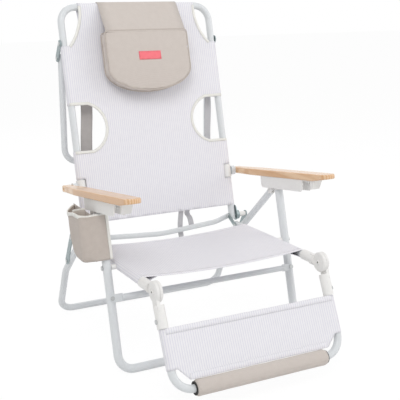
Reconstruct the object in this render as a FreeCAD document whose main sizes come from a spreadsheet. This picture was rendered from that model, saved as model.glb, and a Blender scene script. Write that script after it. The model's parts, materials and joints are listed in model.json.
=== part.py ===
import FreeCAD
import Part
import math
import os

# Reclining beach chair: bent white tube, fabric slings, wooden arms, footrest, rear prop and side pouch.
# Millimetres, +Z up, the sitter faces -Y, origin on the floor in the centre plane midway between the feet.

V = FreeCAD.Vector
doc = FreeCAD.newDocument("beach_chair")
sheet = doc.addObject("Spreadsheet::Sheet", "Sizes")

SIZES = [
    ("frame_half", 260.0), ("leg_step", 40.0), ("tube_d", 22.0), ("leg_d", 25.0), ("thin_d", 20.0),
    ("brace_d", 17.0), ("bar_d", 17.0), ("wall", 1.5), ("run_gap", 0.05), ("soft_gap", 0.3), ("cloth", 1.5),
    ("bolt_d", 8.0), ("rivet_d", 6.0), ("head_d", 13.0), ("plate_t", 3.0), ("hub_d", 30.0), ("hub_l", 9.0),
    ("hinge_y", 83.0), ("hinge_z", 316.0), ("back_lean", 15.06), ("back_len", 715.6), ("back_tail", 13.0),
    ("back_corner", 50.0),
    ("seat_y", -184.0), ("seat_z", 297.0), ("seat_rise", 1.37), ("rail_rear", 236.0), ("rail_front", 214.0),
    ("leg_lean", 15.7), ("foot_y", -266.5), ("leg_top_z", 449.0), ("leg_corner", 45.0),
    ("brace_z", 214.0), ("track_pin_z", 468.0),
    ("rear_top_y", -112.0), ("rear_top_z", 448.0), ("rear_bend_y", 189.5), ("rear_bend_z", 174.0),
    ("rear_foot_y", 266.5), ("rear_bend_r", 80.0), ("link_s", 330.0),
    ("arm_s", 152.0), ("arm_tilt", 8.3), ("arm_w", 47.0), ("arm_t", 21.0), ("arm_step", 3.0),
    ("arm_rear", 16.0), ("arm_front", 540.0), ("arm_neck", 29.0), ("arm_taper", 120.0),
    ("tip_thin", 8.0), ("tip_long", 64.0), ("arm_pin_d", 10.0),
    ("track_rear", 184.0), ("track_step", 417.0), ("track_front", 478.0), ("track_deep", 36.0),
    ("track_low", 26.0), ("track_w", 35.0), ("track_wall", 3.0), ("track_ease", 8.0), ("rib_w", 5.0),
    ("notch_pitch", 32.9), ("notch_h", 2.4), ("notch_w", 10.0), ("pin_gap", 0.3),
    ("foot_hinge_y", -435.0), ("foot_hinge_z", 303.0), ("foot_lean", 25.5), ("foot_len", 262.8),
    ("foot_step", 1.0), ("foot_corner", 55.0), ("knuckle_r", 29.0), ("knuckle_t", 9.5),
    ("knuckle_swing", 34.2),
    ("roll_d", 45.0), ("roll_short", 56.0),
    ("prop_s", 565.5), ("prop_back", 42.5), ("prop_step", 0.5), ("prop_len", 337.0), ("prop_corner", 45.0),
    ("prop_rivet_s", 602.0),
    ("sling_low", 36.0), ("sling_tip", 592.0), ("slot_low", 262.0), ("slot_high", 407.0),
    ("slot_reach", 105.0), ("slot_nose", 54.0), ("corner_w", 57.0), ("corner_drop", 52.0),
    ("back_sag", 14.0), ("seat_sag", 12.0),
    ("seat_cloth_rear", 2.0), ("seat_cloth_front", -342.0),
    ("foot_cloth_top", 99.0), ("foot_cloth_gap", 24.8), ("foot_sag", 9.0),
    ("pillow_half", 146.0), ("pillow_h", 198.0), ("pillow_drop", 85.6), ("pillow_deep", 52.0),
    ("pillow_foot", 74.0),
    ("flap_half", 138.0), ("flap_fall", 87.6),
    ("strap_w", 39.0), ("strap_t", 4.0), ("strap_edge", 38.0), ("web_w", 18.0), ("web_x", 118.0),
    ("pouch_step", 28.0), ("pouch_out", 34.0), ("pouch_y", -198.0), ("pouch_z", 312.0), ("pouch_h", 128.0),
    ("pouch_rise", 8.0), ("front_cell", 100.0), ("rear_cell", 98.0), ("pouch_wall", 1.6),
]
for row, (name, value) in enumerate(SIZES, 1):
    sheet.set("A%d" % row, name)
    sheet.set("B%d" % row, repr(value))
    sheet.setAlias("B%d" % row, name)
doc.recompute()
P = {name: float(sheet.get(name)) for name, _ in SIZES}

TUBE_R = P["tube_d"] / 2
LEG_R = P["leg_d"] / 2
THIN_R = P["thin_d"] / 2
BRACE_R = P["brace_d"] / 2
BOLT_R = P["bolt_d"] / 2
RUN_R = BOLT_R + P["run_gap"]
SIDES = (("left", -1), ("right", 1))
# Half-widths across the chair: each member stands a fixed step out from the seat and back tubes.
FH = P["frame_half"]
LH = FH + P["leg_step"]
ARM_X = LH + P["arm_step"]
FW = FH + P["foot_step"]
PH = FH + P["prop_step"]


def turn(angle):
    a = math.radians(angle)
    return math.sin(a), math.cos(a)


# Local frames. Each gives a point from a lateral x, a distance along the member and one square to it.
def back_at(x, s, q=0.0):
    sn, cs = turn(P["back_lean"])
    return V(x, P["hinge_y"] + s * sn - q * cs, P["hinge_z"] + s * cs + q * sn)


def rail_at(x, y, q=0.0):
    sn, cs = turn(P["seat_rise"])
    s = (P["seat_y"] - y) / cs
    return V(x, P["seat_y"] - s * cs + q * sn, P["seat_z"] + s * sn + q * cs)


def leg_at(x, z, q=0.0):
    sn, cs = turn(P["leg_lean"])
    s = (z - LEG_R) / cs
    return V(x, P["foot_y"] + s * sn - q * cs, LEG_R + s * cs + q * sn)


ARM_O = back_at(0, P["arm_s"])


def arm_at(x, a, n=0.0):
    sn, cs = turn(P["arm_tilt"])
    return V(x, ARM_O.y - a * cs + n * sn, ARM_O.z + a * sn + n * cs)


def foot_at(x, s, q=0.0):
    sn, cs = turn(P["foot_lean"])
    return V(x, P["foot_hinge_y"] - s * sn - q * cs, P["foot_hinge_z"] - s * cs + q * sn)


REAR_TOP = V(0, P["rear_top_y"], P["rear_top_z"])
REAR_BEND = V(0, P["rear_bend_y"], P["rear_bend_z"])
REAR_RUN = (REAR_BEND - REAR_TOP).normalize()


def rear_at(x, s):
    return V(x, REAR_TOP.y + REAR_RUN.y * s, REAR_TOP.z + REAR_RUN.z * s)


HINGE = back_at(0, 0)
SEAT_PIVOT = V(0, P["seat_y"], P["seat_z"])
FOOT_PIVOT = V(0, P["foot_hinge_y"], P["foot_hinge_z"])
TRACK_PIN = leg_at(0, P["track_pin_z"])
PROP_PIVOT = back_at(0, P["prop_s"], -P["prop_back"])


# Solid helpers
def pin(x0, x1, centre, radius):
    lo, hi = min(x0, x1), max(x0, x1)
    return Part.makeCylinder(radius, hi - lo, V(lo, centre.y, centre.z), V(1, 0, 0))


def rounded(points, bends):
    edges = []
    here = points[0]
    for k in range(1, len(points) - 1):
        corner = points[k]
        d0 = (corner - points[k - 1]).normalize()
        d1 = (points[k + 1] - corner).normalize()
        ang = d0.getAngle(d1)
        back = bends[k - 1] * math.tan(ang / 2)
        a = corner - d0 * back
        b = corner + d1 * back
        mid_dir = (d1 - d0).normalize()
        centre = corner + mid_dir * (bends[k - 1] / math.cos(ang / 2))
        m = centre - mid_dir * bends[k - 1]
        edges.append(Part.makeLine(here, a))
        edges.append(Part.Arc(a, m, b).toShape())
        here = b
    edges.append(Part.makeLine(here, points[-1]))
    return Part.Wire(edges)


def rod(points, bends, radius):
    wire = rounded(points, bends)
    aim = (points[1] - points[0]).normalize()
    ring = Part.Wire(Part.Circle(points[0], aim, radius).toShape())
    return wire.makePipe(Part.Face(ring))


def tube(points, bends, radius):
    return rod(points, bends, radius).cut(rod(points, bends, radius - P["wall"]))


def slab(loop, x0, x1):
    lo, hi = min(x0, x1), max(x0, x1)
    pts = [V(lo, p.y, p.z) for p in loop]
    return Part.Face(Part.makePolygon(pts + pts[:1])).extrude(V(hi - lo, 0, 0))


def lug(a, ra, b, rb, x0, x1):
    """Flat lug with two round ends, drawn in the side view and given thickness in X."""
    lo, hi = min(x0, x1), max(x0, x1)
    d = V(0, b.y - a.y, b.z - a.z)
    length = d.Length
    d.normalize()
    n = V(0, -d.z, d.y)
    k = (ra - rb) / length
    c = math.sqrt(1 - k * k)
    up, dn = d * k + n * c, d * k - n * c
    pa, pb = V(lo, a.y, a.z), V(lo, b.y, b.z)
    edges = [
        Part.makeLine(pa + up * ra, pb + up * rb),
        Part.Arc(pb + up * rb, pb + d * rb, pb + dn * rb).toShape(),
        Part.makeLine(pb + dn * rb, pa + dn * ra),
        Part.Arc(pa + dn * ra, pa - d * ra, pa + up * ra).toShape(),
    ]
    return Part.Face(Part.Wire(edges)).extrude(V(hi - lo, 0, 0))


def join(shapes):
    out = shapes[0]
    for s in shapes[1:]:
        out = out.fuse(s)
    return out.removeSplitter()


def both(shape):
    return shape.mirror(V(0, 0, 0), V(1, 0, 0))


NODES = []


def node(label, shape):
    obj = doc.addObject("Part::Feature", label)
    obj.Label = label
    obj.Shape = shape
    NODES.append(obj)
    return obj


def pair(stem, right):
    node(stem + "_right", right)
    node(stem + "_left", both(right))


def group(label, right):
    """Identical fasteners share one node: the right-hand set and its mirror image."""
    shapes = []
    for one in right:
        shapes += [one, both(one)]
    node(label, Part.makeCompound(shapes))


def plate(stem, a, ra, b, rb, x0, holes):
    """Flat steel plate with two round ends, sketched in the side view, for the right and the left side."""
    for side, sign in SIDES:
        label = stem + "_" + side
        body = doc.addObject("PartDesign::Body", label)
        outline = body.newObject("Sketcher::SketchObject", label + "_outline")
        plane = [o for o in body.Origin.OriginFeatures if o.Role == "YZ_Plane"][0]
        outline.AttachmentSupport = [(plane, "")]
        outline.MapMode = "FlatFace"
        d = V(b.y - a.y, b.z - a.z, 0)
        k = (ra - rb) / d.Length
        d.normalize()
        n = V(-d.y, d.x, 0) * math.sqrt(1 - k * k)
        up, dn = d * k + n, d * k - n
        ca, cb = V(a.y, a.z, 0), V(b.y, b.z, 0)
        outline.addGeometry([
            Part.LineSegment(ca + up * ra, cb + up * rb),
            Part.Arc(cb + up * rb, cb + d * rb, cb + dn * rb),
            Part.LineSegment(cb + dn * rb, ca + dn * ra),
            Part.Arc(ca + dn * ra, ca - d * ra, ca + up * ra)], False)
        for centre, radius in holes:
            outline.addGeometry(Part.Circle(V(centre.y, centre.z, 0), V(0, 0, 1), radius), False)
        pad = body.newObject("PartDesign::Pad", label + "_pad")
        pad.Profile = outline
        pad.setExpression("Length", "Sizes.plate_t")
        doc.recompute()
        x_low = x0 if sign > 0 else -x0 - P["plate_t"]
        body.Placement = FreeCAD.Placement(V(x_low, 0, 0), FreeCAD.Rotation())
        body.Label = label
        NODES.append(body)


T = P["plate_t"]
IN_FACE = FH - TUBE_R
OUT_FACE = FH + TUBE_R

# Back frame: one tube bent into an inverted U, with cross holes for the hinge bolts and arm pins.
top = P["back_len"]
frame_pts = [back_at(-FH, -P["back_tail"]), back_at(-FH, top), back_at(FH, top), back_at(FH, -P["back_tail"])]
back_frame = tube(frame_pts, [P["back_corner"]] * 2, TUBE_R)
back_frame = back_frame.cut(pin(-LH, LH, HINGE, RUN_R))
ARM_PIN_R = P["arm_pin_d"] / 2
back_frame = back_frame.cut(pin(-LH, LH, ARM_O, ARM_PIN_R + P["run_gap"]))
node("back_frame", back_frame)

# Lower back crossbar, bowed down, fixed across the back of the uprights clear of the hinge plates.
BAR_R = P["bar_d"] / 2
bar_q = -(TUBE_R + BAR_R - 0.1)
bow = [back_at(-FH - 6, 2, bar_q), back_at(-205, -16, bar_q - 2), back_at(0, -30, bar_q),
       back_at(205, -16, bar_q - 2), back_at(FH + 6, 2, bar_q)]
bar = rod(bow, [120, 500, 120], BAR_R).cut(rod(frame_pts, [P["back_corner"]] * 2, TUBE_R))
node("back_crossbar", bar)

# Pivot plates for the rear prop, riveted on the outer face of the uprights.
riv = back_at(0, P["prop_rivet_s"])
plate("prop_plate", riv, 12, PROP_PIVOT, 12, OUT_FACE + 0.05, [(riv, P["rivet_d"] / 2), (PROP_PIVOT, BOLT_R)])
PLATE_OUT = OUT_FACE + 0.05 + T
rivet = join([pin(FH, PLATE_OUT, riv, P["rivet_d"] / 2),
              pin(PLATE_OUT, PLATE_OUT + 2.2, riv, P["head_d"] / 2)])
rivet = rivet.cut(rod(frame_pts, [P["back_corner"]] * 2, TUBE_R - P["wall"]))
rivet = rivet.cut(back_frame)
prop_in = PH - THIN_R
prop_pin = join([pin(prop_in - 2, PLATE_OUT, PROP_PIVOT, BOLT_R),
                 pin(PLATE_OUT, PLATE_OUT + 2.2, PROP_PIVOT, P["head_d"] / 2),
                 pin(prop_in - 4.5, prop_in - 0.6, PROP_PIVOT, P["head_d"] / 2)])
group("prop_rivets", [rivet, prop_pin])

# Plastic collars that the arm pins pass through.
collar = Part.makeCylinder(TUBE_R + 3.4, 42, back_at(FH, P["arm_s"] - 21), back_at(0, 1) - back_at(0, 0))
collar = collar.cut(rod(frame_pts, [P["back_corner"]] * 2, TUBE_R))
collar = collar.cut(pin(0, LH, ARM_O, ARM_PIN_R + P["run_gap"]))
pair("arm_collar", collar)
COLLAR_OUT = OUT_FACE + 3.4

# Arm pivots: round white-coated steel bosses, each with a pin through the collar and the neck of the arm.
arm_half = P["arm_w"] / 2
arm_neck = P["arm_neck"] / 2
BOSS_IN = COLLAR_OUT + 0.3
BOSS_OUT = ARM_X - arm_neck - 0.3
boss = join([pin(BOSS_IN, BOSS_OUT, ARM_O, 15), pin(IN_FACE - 2, ARM_X + arm_neck - 3, ARM_O, ARM_PIN_R)])
pair("arm_pivot", boss)


# Wooden arms: a narrow neck that widens to a board with a round tip thinned from below, all edges eased,
# drilled across at the neck for the pivot pin.
def arm_body(side, sign):
    body = doc.addObject("PartDesign::Body", "armrest_" + side)
    plan = body.newObject("Sketcher::SketchObject", "plan_" + side)
    origin = body.Origin.OriginFeatures
    xy = [o for o in origin if o.Role == "XY_Plane"][0]
    xz = [o for o in origin if o.Role == "XZ_Plane"][0]
    plan.AttachmentSupport = [(xy, "")]
    plan.MapMode = "FlatFace"
    a0, a1 = -P["arm_rear"], P["arm_front"]
    edge = [(a0, arm_neck), (-a0, arm_neck), (P["arm_taper"], arm_half), (a1 - arm_half, arm_half)]
    near = [V(a, w, 0) for a, w in edge]
    far = [V(a, -w, 0) for a, w in edge]
    geo = [Part.LineSegment(near[k], near[k + 1]) for k in range(3)]
    geo.append(Part.Arc(near[3], V(a1, 0, 0), far[3]))
    geo += [Part.LineSegment(far[k], far[k - 1]) for k in (3, 2, 1)]
    geo.append(Part.LineSegment(far[0], near[0]))
    plan.addGeometry(geo, False)
    pad = body.newObject("PartDesign::Pad", "board_" + side)
    pad.Profile = plan
    pad.setExpression("Length", "Sizes.arm_t")
    pad.Midplane = True
    doc.recompute()
    under = P["arm_t"] / 2
    wedge = body.newObject("Sketcher::SketchObject", "tip_wedge_" + side)
    wedge.AttachmentSupport = [(xz, "")]
    wedge.MapMode = "FlatFace"
    a_thin = a1 - P["tip_long"]
    corners = [V(a_thin, -under, 0), V(a1 + 2, -under + P["tip_thin"], 0), V(a1 + 2, -under - 5, 0),
               V(a_thin, -under - 5, 0)]
    wedge.addGeometry([Part.LineSegment(corners[k - 1], corners[k]) for k in range(4)], False)
    thin = body.newObject("PartDesign::Pocket", "thin_tip_" + side)
    thin.Profile = wedge
    thin.Type = "ThroughAll"
    thin.Midplane = True
    doc.recompute()
    ease = body.newObject("PartDesign::Fillet", "eased_" + side)
    ease.Base = (thin, [])
    ease.UseAllEdges = True
    ease.Radius = 4.0
    doc.recompute()
    hole = body.newObject("Sketcher::SketchObject", "pin_hole_" + side)
    hole.AttachmentSupport = [(xz, "")]
    hole.MapMode = "FlatFace"
    hole.addGeometry(Part.Circle(V(0, 0, 0), V(0, 0, 1), ARM_PIN_R + P["run_gap"]), False)
    cut = body.newObject("PartDesign::Pocket", "bore_" + side)
    cut.Profile = hole
    cut.Type = "ThroughAll"
    cut.Midplane = True
    doc.recompute()
    sn, cs = turn(P["arm_tilt"])
    aim = FreeCAD.Rotation(V(0, -cs, sn), V(1, 0, 0), V(0, sn, cs), "XYZ")
    body.Placement = FreeCAD.Placement(V(sign * ARM_X, ARM_O.y, ARM_O.z), aim)
    body.Label = "armrest_" + side
    NODES.append(body)
    return body


for side, sign in SIDES:
    arm_body(side, sign)

# Plastic tracks screwed under the arms: channels open below, with notches for the leg-top pins.
under = -P["arm_t"] / 2
tw, tk = P["track_w"] / 2, P["track_wall"]


def track_slab(a0, a1, n0, n1, x0, x1):
    return slab([arm_at(0, a0, n0), arm_at(0, a1, n0), arm_at(0, a1, n1), arm_at(0, a0, n1)], x0, x1)


deep = under - P["track_deep"]
low = under - P["track_low"]
ease = P["track_ease"]
box_line = [(P["track_rear"], under), (P["track_rear"], deep + ease), (P["track_rear"] + ease, deep),
            (P["track_step"] - ease, deep), (P["track_step"], deep + ease), (P["track_step"], under)]
nose_line = [(P["track_step"] - 1, under), (P["track_step"] - 1, low), (P["track_front"] - 2 * ease, low),
             (P["track_front"], under)]
outer = slab([arm_at(0, a, n) for a, n in box_line], LH - tw, LH + tw)
outer = outer.fuse(slab([arm_at(0, a, n) for a, n in nose_line], LH - tw + 3, LH + tw - 3))
inner_end = P["track_front"] - 2 * ease - 4
inner = track_slab(P["track_rear"] - 1, inner_end, deep - 1, under - 4, LH - tw + tk, LH + tw - tk)
track = outer.cut(inner)
PIN_A = (TRACK_PIN - ARM_O).dot(arm_at(0, 1) - arm_at(0, 0))
PIN_N = (TRACK_PIN - ARM_O).dot(arm_at(0, 0, 1) - arm_at(0, 0, 0))
rib_n = PIN_N + BOLT_R + P["pin_gap"]
rib_end = P["track_step"] - 4
rib = [arm_at(0, P["track_rear"], under - 3.9), arm_at(0, P["track_rear"], rib_n)]
for k in range(5):
    crest = PIN_A + (k - 0.5) * P["notch_pitch"]
    rib.append(arm_at(0, crest - P["notch_w"] / 2, rib_n))
    rib.append(arm_at(0, crest, rib_n - P["notch_h"]))
    rib.append(arm_at(0, crest + P["notch_w"] / 2, rib_n))
rib += [arm_at(0, rib_end, rib_n), arm_at(0, rib_end, under - 3.9)]
for x0 in (LH - tw + tk - 0.1, LH + tw - tk + 0.1 - P["rib_w"]):
    track = track.fuse(slab(rib, x0, x0 + P["rib_w"]))
pair("arm_track", track.removeSplitter())
screw = []
for a in (P["track_rear"] + 22, P["track_step"] - 20):
    sn, cs = turn(P["arm_tilt"])
    head = Part.makeCylinder(4, 2.4, arm_at(LH, a, under - 6.4), V(0, sn, cs))
    screw.append(head)
group("track_screws", screw)

# Seat rails, straight tubes from the rear hinge plates to the footrest ratchets.
RAIL_REAR_Y = P["seat_y"] + P["rail_rear"]
RAIL_FRONT_Y = P["seat_y"] - P["rail_front"]
rail = tube([rail_at(FH, RAIL_REAR_Y), rail_at(FH, RAIL_FRONT_Y)], [], TUBE_R)
rail = rail.cut(pin(0, LH, SEAT_PIVOT, BOLT_R))
RAIL_TAIL = rail_at(0, RAIL_REAR_Y - 14)
rail = rail.cut(pin(0, LH, RAIL_TAIL, P["rivet_d"] / 2))
pair("seat_rail", rail)

# Rear plates carry the hinge bolts above the ends of the rails, one inside each rail.
SEAT_PLATE_IN = IN_FACE - 0.05 - T
plate("seat_plate", HINGE, 7.5, RAIL_TAIL, 7.5, SEAT_PLATE_IN,
      [(HINGE, BOLT_R), (RAIL_TAIL, P["rivet_d"] / 2)])
tail_rivet = join([pin(SEAT_PLATE_IN, OUT_FACE, RAIL_TAIL, P["rivet_d"] / 2),
                   pin(SEAT_PLATE_IN - 2.2, SEAT_PLATE_IN, RAIL_TAIL, P["head_d"] / 2)])
group("seat_rivets", [tail_rivet])

# Hinge bolts through the uprights, with a white spacer outboard that ends just inside the rear links.
BOLT_END = LH + TUBE_R - 0.4
hinge_bolt = join([pin(SEAT_PLATE_IN - 5, BOLT_END, HINGE, BOLT_R),
                   pin(SEAT_PLATE_IN - 5, SEAT_PLATE_IN, HINGE, P["head_d"] / 2)])
group("hinge_bolts", [hinge_bolt])
FOLD_IN = OUT_FACE + 0.4
HUB_IN = FOLD_IN + T
HUB_OUT = HUB_IN + P["hub_l"]
spacer = pin(HUB_OUT + 0.3, BOLT_END, HINGE, 8).cut(pin(0, LH + 60, HINGE, BOLT_R))
group("hinge_spacers", [spacer])

# Steel fold plates beside the uprights: the back folds with them and reclines against them.
plate("fold_plate", HINGE, 18, back_at(0, 21), 13, FOLD_IN, [(HINGE, RUN_R)])
group("fold_hubs", [pin(HUB_IN, HUB_OUT, HINGE, P["hub_d"] / 2).cut(pin(0, LH, HINGE, RUN_R))])

# Front leg: a U of larger tube whose floor bar rests on the ground.
LEG_TOP = leg_at(LH, P["leg_top_z"])
leg_pts = [leg_at(-LH, P["leg_top_z"]), leg_at(-LH, LEG_R), leg_at(LH, LEG_R), LEG_TOP]
front_leg = tube(leg_pts, [P["leg_corner"]] * 2, LEG_R)
front_leg = front_leg.cut(pin(-LH - 40, LH + 40, SEAT_PIVOT, RUN_R))
node("front_leg", front_leg)

# Seat pivot bolts with spacers between the rails and the front legs.
seat_bolt = join([pin(IN_FACE, LH + LEG_R + 0.3, SEAT_PIVOT, BOLT_R),
                  pin(IN_FACE - 3, IN_FACE, SEAT_PIVOT, P["head_d"] / 2),
                  pin(LH + LEG_R + 0.3, LH + LEG_R + 3, SEAT_PIVOT, P["head_d"] / 2)])
group("seat_pivot_bolts", [seat_bolt])
seat_spacer = pin(OUT_FACE + 1.6, LH - LEG_R - 0.3, SEAT_PIVOT, 7.5).cut(pin(0, LH, SEAT_PIVOT, BOLT_R))
group("seat_spacers", [seat_spacer])

# Brace between the front legs, a tube with flattened ends riveted on their front faces.
brace_q = LEG_R + 1.6
arm_in = LH - LEG_R - 16
brace_mid = LEG_R + 2.5
brace = rod([leg_at(-arm_in, P["brace_z"], brace_mid), leg_at(arm_in, P["brace_z"], brace_mid)], [], BRACE_R)
fsn, fcs = turn(P["leg_lean"])
tab = Part.makeBox(36, 3, 22, V(-18, -1.5, -11))
tab.Placement = FreeCAD.Placement(leg_at(LH - 14, P["brace_z"], brace_q),
                                  FreeCAD.Rotation(V(1, 0, 0), -P["leg_lean"]))
tab = tab.copy()
brace = join([brace, tab, both(tab)])
brace = brace.cut(rod(leg_pts, [P["leg_corner"]] * 2, LEG_R))
node("leg_brace", brace)
rivet_dir = V(0, -fcs, fsn)
brace_rivet = Part.makeCylinder(P["head_d"] / 2, 2.4, leg_at(LH, P["brace_z"], brace_q + 1.5), rivet_dir)
group("brace_rivets", [brace_rivet])

# Leg-top caps: a plug in the front leg, a pin for the arm track and a rear ear for the rear leg.
LEG_RUN = leg_at(0, 1) - leg_at(0, 0)
cap_plug = Part.makeCylinder(LEG_R - P["wall"], 24, leg_at(LH, P["leg_top_z"] - 23), LEG_RUN)
cap_collar = Part.makeCylinder(LEG_R, 3, LEG_TOP, LEG_RUN)
cap_head = lug(leg_at(0, P["leg_top_z"] + 2), 10, TRACK_PIN, 8, LH - 6, LH + 6)
ear = lug(leg_at(0, P["leg_top_z"] + 6), 8, REAR_TOP, 8, LH - 4, LH + 4)
track_pin = pin(LH - 13.4, LH + 13.4, TRACK_PIN, BOLT_R)
ear_pin = pin(LH - 11, LH + 11, REAR_TOP, BOLT_R)
pair("leg_cap", join([cap_plug, cap_collar, cap_head, ear, track_pin, ear_pin]).cut(front_leg))

# Rear leg: a U bent once in its sides, hung from the ears of the leg-top caps.
rear_start = 17.0
foot_z = TUBE_R
rear_pts = [rear_at(-LH, rear_start), V(-LH, REAR_BEND.y, REAR_BEND.z), V(-LH, P["rear_foot_y"], foot_z),
            V(LH, P["rear_foot_y"], foot_z), V(LH, REAR_BEND.y, REAR_BEND.z), rear_at(LH, rear_start)]
rear_bends = [P["rear_bend_r"], P["leg_corner"], P["leg_corner"], P["rear_bend_r"]]
rear_leg = tube(rear_pts, rear_bends, TUBE_R)
node("rear_leg", rear_leg)
fork_plug = Part.makeCylinder(TUBE_R - P["wall"], 26, rear_at(LH, rear_start - 2), REAR_RUN)
fork_collar = Part.makeCylinder(TUBE_R, 3, rear_at(LH, rear_start - 3), REAR_RUN)
cheeks = [lug(rear_at(0, rear_start - 1), 8, REAR_TOP, 8, LH + x0, LH + x0 + 6.2) for x0 in (-10.6, 4.4)]
fork = join([fork_plug, fork_collar] + cheeks).cut(pin(0, 2 * LH, REAR_TOP, RUN_R)).cut(rear_leg)
pair("rear_fork", fork)

# Rear links outside the rear legs: riveted to the legs, their upper ends over the ends of the hinge bolts.
LINK_IN = LH + TUBE_R + 0.05
LINK_OUT = LINK_IN + T
knee = rear_at(0, P["link_s"])
RIVET_R = P["rivet_d"] / 2
plate("rear_link", HINGE, 11, knee, 12, LINK_IN, [(HINGE, RIVET_R), (knee, RIVET_R + P["run_gap"])])
knee_rivet = join([pin(LH + TUBE_R - 1.6, LINK_OUT + 0.2, knee, RIVET_R),
                   pin(LINK_OUT + 0.2, LINK_OUT + 2.4, knee, P["head_d"] / 2)])
group("rear_rivets", [knee_rivet.cut(rear_leg)])
end_rivet = join([pin(LINK_IN, LINK_OUT, HINGE, RIVET_R),
                  pin(LINK_OUT, LINK_OUT + 2.2, HINGE, P["head_d"] / 2)])
group("link_rivets", [end_rivet])

# Rear prop: a U that hangs plumb from its plates and stands on the floor when the back lies flat.
drop = P["prop_len"]
prop_top = PROP_PIVOT + V(0, 0, 12)
prop_pts = [V(-PH, prop_top.y, prop_top.z), V(-PH, PROP_PIVOT.y, PROP_PIVOT.z - drop),
            V(PH, PROP_PIVOT.y, PROP_PIVOT.z - drop), V(PH, prop_top.y, prop_top.z)]
prop = tube(prop_pts, [P["prop_corner"]] * 2, THIN_R).cut(pin(-LH, LH, PROP_PIVOT, RUN_R))
node("rear_prop", prop)

# Footrest frame: a U of tube with its open ends in the lower ratchet halves.
foot_pts = [foot_at(-FW, 42), foot_at(-FW, P["foot_len"]), foot_at(FW, P["foot_len"]), foot_at(FW, 42)]
node("footrest_frame", tube(foot_pts, [P["foot_corner"]] * 2, TUBE_R))


def round_rim(disc, x):
    """Rounds the edge of a disc where it ends at x."""
    rim = [e for e in disc.Edges if max(abs(e.BoundBox.XMin - x), abs(e.BoundBox.XMax - x)) < 0.1]
    return disc.makeFillet(4, rim)


# Ratchet knuckles in two halves: the inner one on the rail, the outer one on the footrest.
KR, KT = P["knuckle_r"], P["knuckle_t"]
rail_aim = (rail_at(0, RAIL_FRONT_Y) - rail_at(0, RAIL_REAR_Y)).normalize()
rail_solid = rod([rail_at(FH, RAIL_REAR_Y), rail_at(FH, RAIL_FRONT_Y)], [], TUBE_R)
upper_sleeve = Part.makeCylinder(TUBE_R + 4, 64, rail_at(FH, P["foot_hinge_y"] + 86), rail_aim)
upper_disc = round_rim(pin(FW - KT, FW - 0.4, FOOT_PIVOT, KR), FW - KT)
axle = pin(FW - KT - 3, FW + KT + 3, FOOT_PIVOT, BOLT_R)
axle_heads = [pin(FW - KT - 3, FW - KT, FOOT_PIVOT, P["head_d"] / 2),
              pin(FW + KT + 0.3, FW + KT + 3, FOOT_PIVOT, P["head_d"] / 2)]
upper_neck = lug(rail_at(0, P["foot_hinge_y"] + 40), TUBE_R + 4, FOOT_PIVOT, TUBE_R + 4, FW - KT, FW - 0.4)
upper = join([upper_sleeve, upper_disc, upper_neck]).cut(rail_solid)
clear_ring = pin(FW - 0.4, FW + KT + 6, FOOT_PIVOT, P["knuckle_swing"])
upper = join([upper.cut(clear_ring), axle] + axle_heads)
pair("ratchet_upper", upper)
foot_aim = (foot_at(0, 1) - foot_at(0, 0)).normalize()
foot_solid = rod(foot_pts, [P["foot_corner"]] * 2, TUBE_R)
lower_sleeve = Part.makeCylinder(TUBE_R + 4, 62, foot_at(FW, 36), foot_aim)
lower_disc = round_rim(pin(FW + 0.4, FW + KT, FOOT_PIVOT, KR), FW + KT)
lower_neck = lug(foot_at(0, 44), TUBE_R + 4, FOOT_PIVOT, TUBE_R + 4, FW + 0.4, FW + KT)
lower = join([lower_sleeve, lower_disc, lower_neck]).cut(foot_solid)
lower = lower.cut(pin(FW - KT - 6, FW + 0.4, FOOT_PIVOT, P["knuckle_swing"]))
lower = lower.cut(pin(0, LH, FOOT_PIVOT, RUN_R))
lower = sorted(lower.Solids, key=lambda s: s.Volume)[-1]
pair("ratchet_lower", lower)
ratchet_rivet = pin(FW + TUBE_R + 4, FW + TUBE_R + 6, foot_at(0, 78), P["head_d"] / 2)
group("footrest_rivets", [ratchet_rivet])

# Back sling: cloth between sleeves on the uprights and the top tube, cut away at the corners and arm slots.
CG = P["soft_gap"]
SL_IN = TUBE_R + CG
SL_OUT = SL_IN + P["cloth"]


def web(place, half, s0, s1, sag):
    """Cloth panel between two sleeves: a shallow curve across, run straight along the member."""
    lo = [place(-half, s0, SL_IN), place(0, s0, SL_IN - sag), place(half, s0, SL_IN)]
    hi = [place(half, s0, SL_OUT), place(0, s0, SL_OUT - sag), place(-half, s0, SL_OUT)]
    edges = [Part.Arc(*lo).toShape(), Part.makeLine(lo[2], hi[0]),
             Part.Arc(*hi).toShape(), Part.makeLine(hi[2], lo[0])]
    run = place(0, s1) - place(0, s0)
    panel = Part.Face(Part.Wire(edges)).extrude(run)
    length = run.Length
    aim = run.normalize()
    for x in (-half, half):
        sleeve = Part.makeCylinder(SL_OUT, length, place(x, s0), aim)
        panel = panel.fuse(sleeve)
    for x in (-half, half):
        panel = panel.cut(Part.makeCylinder(SL_IN, length + 2, place(x, s0) - aim, aim))
    return panel


def through(loop, q0=-40.0, q1=50.0):
    """Cutter square to the back from an outline of edges drawn at depth q0."""
    return Part.Face(Part.Wire(loop)).extrude(back_at(0, 0, q1) - back_at(0, 0, q0))


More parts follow.
